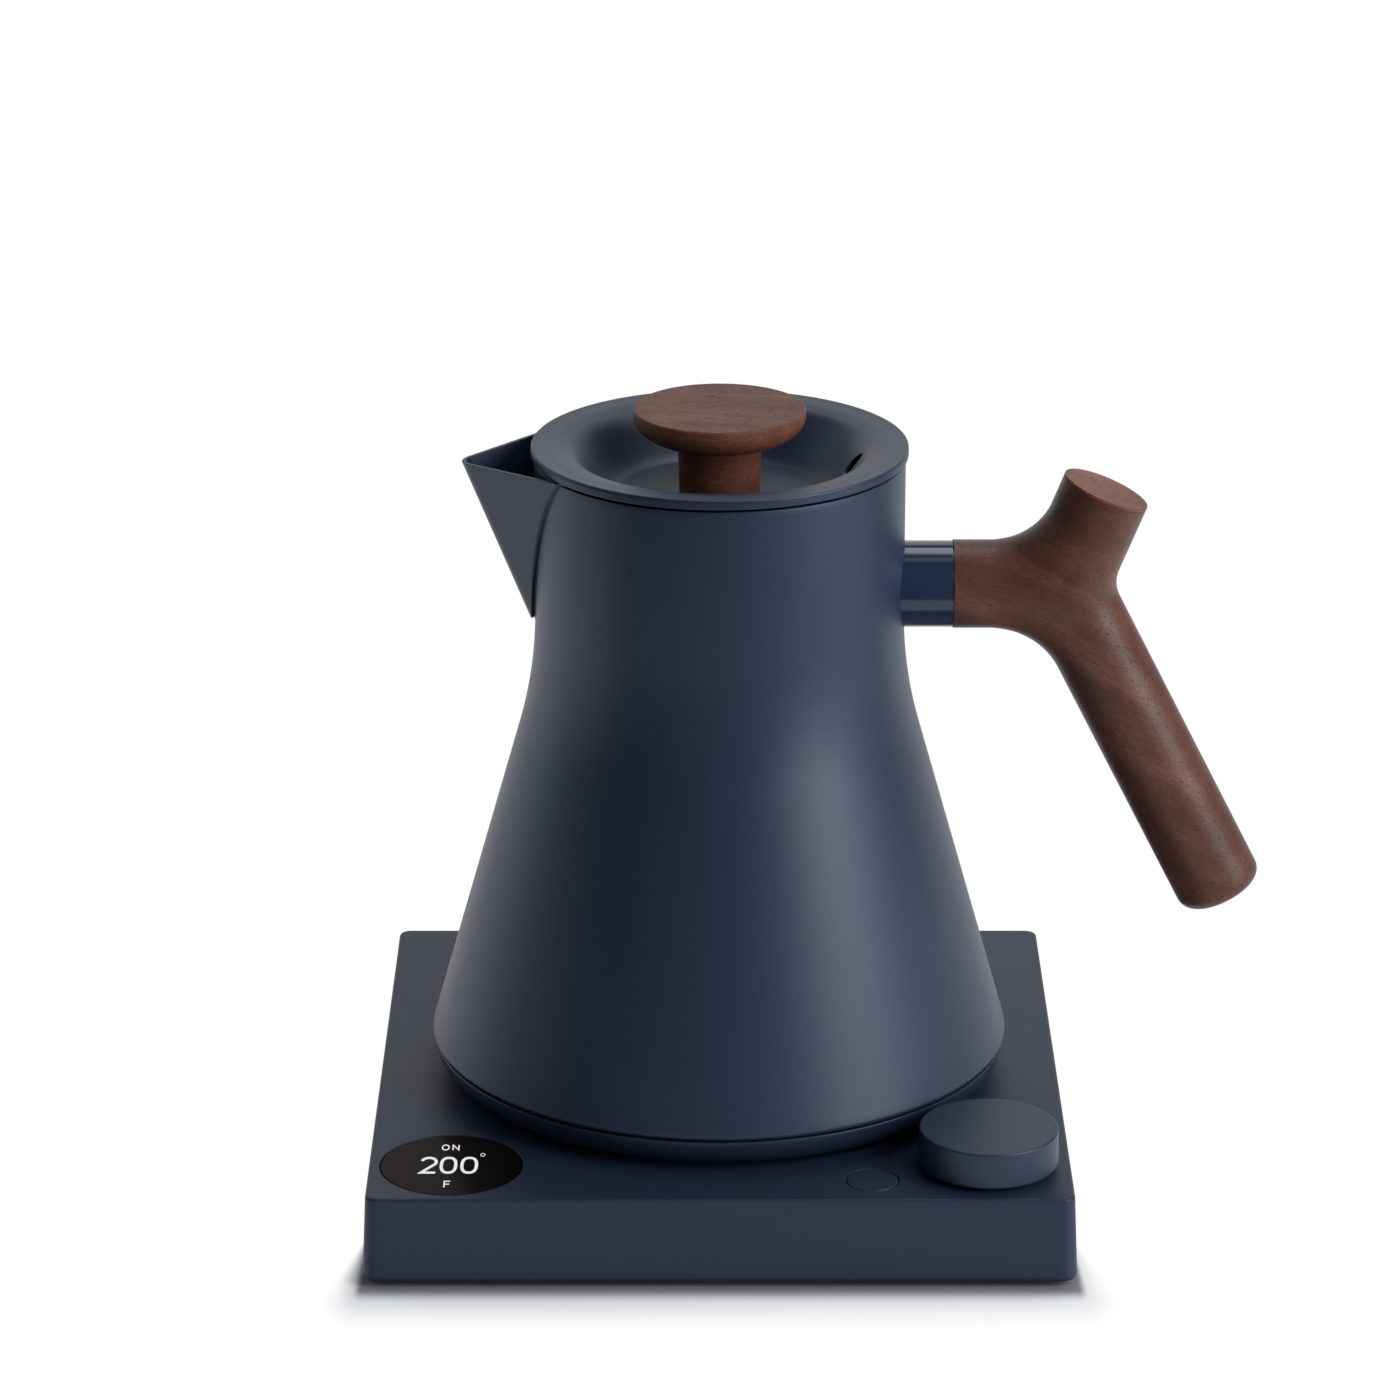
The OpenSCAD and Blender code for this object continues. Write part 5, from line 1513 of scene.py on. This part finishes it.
def seen_directly(tree):
    """1 for what the camera, a mirror or glass shows, 0 for soft light."""
    rays = new_node(tree, "ShaderNodeLightPath").outputs
    camera, glossy, through = [Value(rays[f"Is {kind} Ray"]) for kind in ("Camera", "Glossy", "Transmission")]
    return clamped(camera + glossy + through)


def dome_rows(rise, low, climb, start, sweep, steps=32, radius=3.0):
    """Rows of points round a sphere: they climb from low, each sweeps from start, all in degrees."""
    rows = []
    angles = [math.radians(start + sweep * k / steps) for k in range(steps + 1)]
    for i in range(rise + 1):
        lift = math.radians(low + climb * i / rise)
        flat, up = math.cos(lift), math.sin(lift)
        rows.append([Vector((math.cos(a) * flat, math.sin(a) * flat, up)) * radius for a in angles])
    return rows


class KETTLE_OT_stage(bpy.types.Operator):
    """Makes the floor, the studio lamps, the world and the camera"""

    bl_idname = "kettle.stage"
    bl_label = "Studio"

    def execute(self, context):
        self.floor()
        self.curtain()
        cool = (0.95, 0.99, 1.04)
        soft_box("right box", (1.08, -0.62, 0.60), 0.78, 1.1, 20.0, cool)
        soft_box("left box", (-0.95, 0.50, 0.50), 0.6, 1.1, 1.9, (0.68, 0.89, 1.12))
        soft_box("top box", (0.35, 0.42, 1.38), 1.0, 0.5, 6.0, cool)
        self.world(context)
        data = bpy.data.cameras.new("camera")
        data.lens, data.sensor_width = 141.94, 36.0
        camera = placed("camera", data)
        camera.location = (-0.0048, -1.2836, 0.5837)
        camera.rotation_euler = (math.radians(70.11), 0.0, 0.0)
        context.scene.camera = camera
        context.scene.view_settings.view_transform = "Standard"
        return {"FINISHED"}

    def floor(self):
        """A floor that is plain white away from the base, keeps the shadow beside it and has painted shade
        where the housing nearly touches it.
        """
        segments = 64
        points, faces = bridged([round_loop((0.0, 0.0), r, 0.0, segments) for r in (0.2, 0.5, 2.0, 8.0)])
        mesh = clean_mesh("floor", points, faces + [tuple(range(segments))], outward=False)
        # the rings run outwards, so their faces start upside down
        mesh.flip_normals()
        floor = placed("floor", mesh)
        material = bpy.data.materials.new("Pale floor")
        material.use_nodes = True
        tree = material.node_tree
        tree.nodes.clear()
        x, y, _ = parted(in_object(tree))
        # Shadow, real and painted: its reach beside and behind the base, what it gains at the front, and from
        # where
        side, front, behind = 0.0012, 0.0095, 0.024
        forward = maths("MULTIPLY_ADD", y, -30.0, -1.8, clamp=True)
        over_x, over_y = [
            maths("MAXIMUM", (maths("ABSOLUTE", at) - HOUSING_HIGH.x) / reach, 0.0)
            for at, reach in ((x, maths("MULTIPLY_ADD", forward, front, side)), (y, behind))
        ]
        away = maths("SQRT", over_x * over_x + over_y * over_y)

        def smooth(reach, low, high):
            """A smooth step from low, at the base, to high, at the reach."""
            step = {"Value": away, "From Min": 0.0, "From Max": reach, "To Min": low, "To Max": high}
            return output(tree, "ShaderNodeMapRange", 0, step, interpolation_type="SMOOTHSTEP")

        # painted shade: the paper's own colour darkens where the housing nearly touches it, as a contact
        # shadow
        paper_with_painted_shade = output(tree, "ShaderNodeBsdfDiffuse", 0, {"Color": smooth(0.3, 0.25, 0.92)})
        glow = output(tree, "ShaderNodeEmission", 0, {"Color": (1, 1, 1, 1), "Strength": 1.0})
        share = seen_directly(tree) * smooth(1.0, 0.0, 1.0)
        mix = output(tree, "ShaderNodeMixShader", 0, {0: share, 1: paper_with_painted_shade, 2: glow})
        new_node(tree, "ShaderNodeOutputMaterial", {"Surface": mix})
        mesh.materials.append(material)

    def curtain(self):
        """A dark curtain behind the camera, seen only in reflections."""
        shading = {"Base Color": (0.01, 0.01, 0.012, 1), "Specular IOR Level": 0.0}
        steps = 32
        walls = dome_rows(rise=10, low=-4, climb=84, start=-231, sweep=282)
        # the curtain's roof leaves the backdrop open
        roof = dome_rows(rise=6, low=42, climb=46, start=-2, sweep=184)
        # the part of the floor in front of the kettle that the curtain darkens
        angles = [math.radians(-158 + 136 * k / steps) for k in range(steps + 1)]
        ground = [[Vector((r * math.cos(a), r * math.sin(a), 0.5 * MM)) for a in angles] for r in (0.32, 3.0)]
        parts = [bridged(rows, ring=False) for rows in (walls, roof, ground)]
        mesh = clean_mesh("curtain", *joined(parts), outward=False)
        mesh.materials.append(start_material("Dark curtain", shading)[0])
        card = placed("curtain", mesh)
        card.visible_camera = False
        card.visible_diffuse = False
        card.visible_shadow = False
        card.visible_transmission = False

    def world(self, context):
        """A world that looks white but gives little soft light."""
        world = bpy.data.worlds.new("studio")
        world.use_nodes = True
        tree = world.node_tree
        tree.nodes.clear()
        soft_light, seen_light = 0.18, 0.82
        strength = maths("MULTIPLY_ADD", seen_directly(tree), seen_light, soft_light)
        sky = output(tree, "ShaderNodeBackground", 0, {"Color": (1, 1, 1, 1), "Strength": strength})
        new_node(tree, "ShaderNodeOutputWorld", {"Surface": sky})
        context.scene.world = world


# ---- Panel, registration and run -----------------------------------------


PIECES = [
    KETTLE_OT_shell,
    KETTLE_OT_beak,
    KETTLE_OT_skirt,
    KETTLE_OT_handle,
    KETTLE_OT_ferrule,
    KETTLE_OT_lid,
    KETTLE_OT_knob,
    KETTLE_OT_housing,
    KETTLE_OT_display,
    KETTLE_OT_dial,
    KETTLE_OT_screws,
    KETTLE_OT_feet,
    KETTLE_OT_inner_finishes,
    KETTLE_OT_stage,
]
GROUPS = {
    "kettle_body": BodySizes,
    "kettle_handle": HandleSizes,
    "kettle_lid": LidSizes,
    "kettle_base": BaseSizes,
    "kettle_finishes": Finishes,
}


class KETTLE_PT_pieces(bpy.types.Panel):
    """Lists the kettle's pieces and their sizes"""

    bl_label = "Kettle"
    bl_idname = "KETTLE_PT_pieces"
    bl_space_type = "VIEW_3D"
    bl_region_type = "UI"
    bl_category = "Kettle"

    def draw(self, context):
        for piece in PIECES:
            self.layout.operator(piece.bl_idname)
        for name, group in GROUPS.items():
            box = self.layout.box()
            box.label(text=group.bl_rna.description)
            for key in group.__annotations__:
                box.prop(getattr(context.scene, name), key)


def register():
    """Registers the groups of sizes, the operators and the panel."""
    for kind in [*GROUPS.values(), *PIECES, KETTLE_PT_pieces]:
        bpy.utils.register_class(kind)
    for name, group in GROUPS.items():
        setattr(bpy.types.Scene, name, bpy.props.PointerProperty(type=group))


def unregister():
    """Takes them out again."""
    for name in GROUPS:
        delattr(bpy.types.Scene, name)
    for kind in reversed([*GROUPS.values(), *PIECES, KETTLE_PT_pieces]):
        bpy.utils.unregister_class(kind)


def main():
    """Makes every piece."""
    register()
    FINISH.update(make_finishes())
    for piece in PIECES:
        group, name = piece.bl_idname.split(".")
        getattr(getattr(bpy.ops, group), name)()


if __name__ == "__main__":
    main()
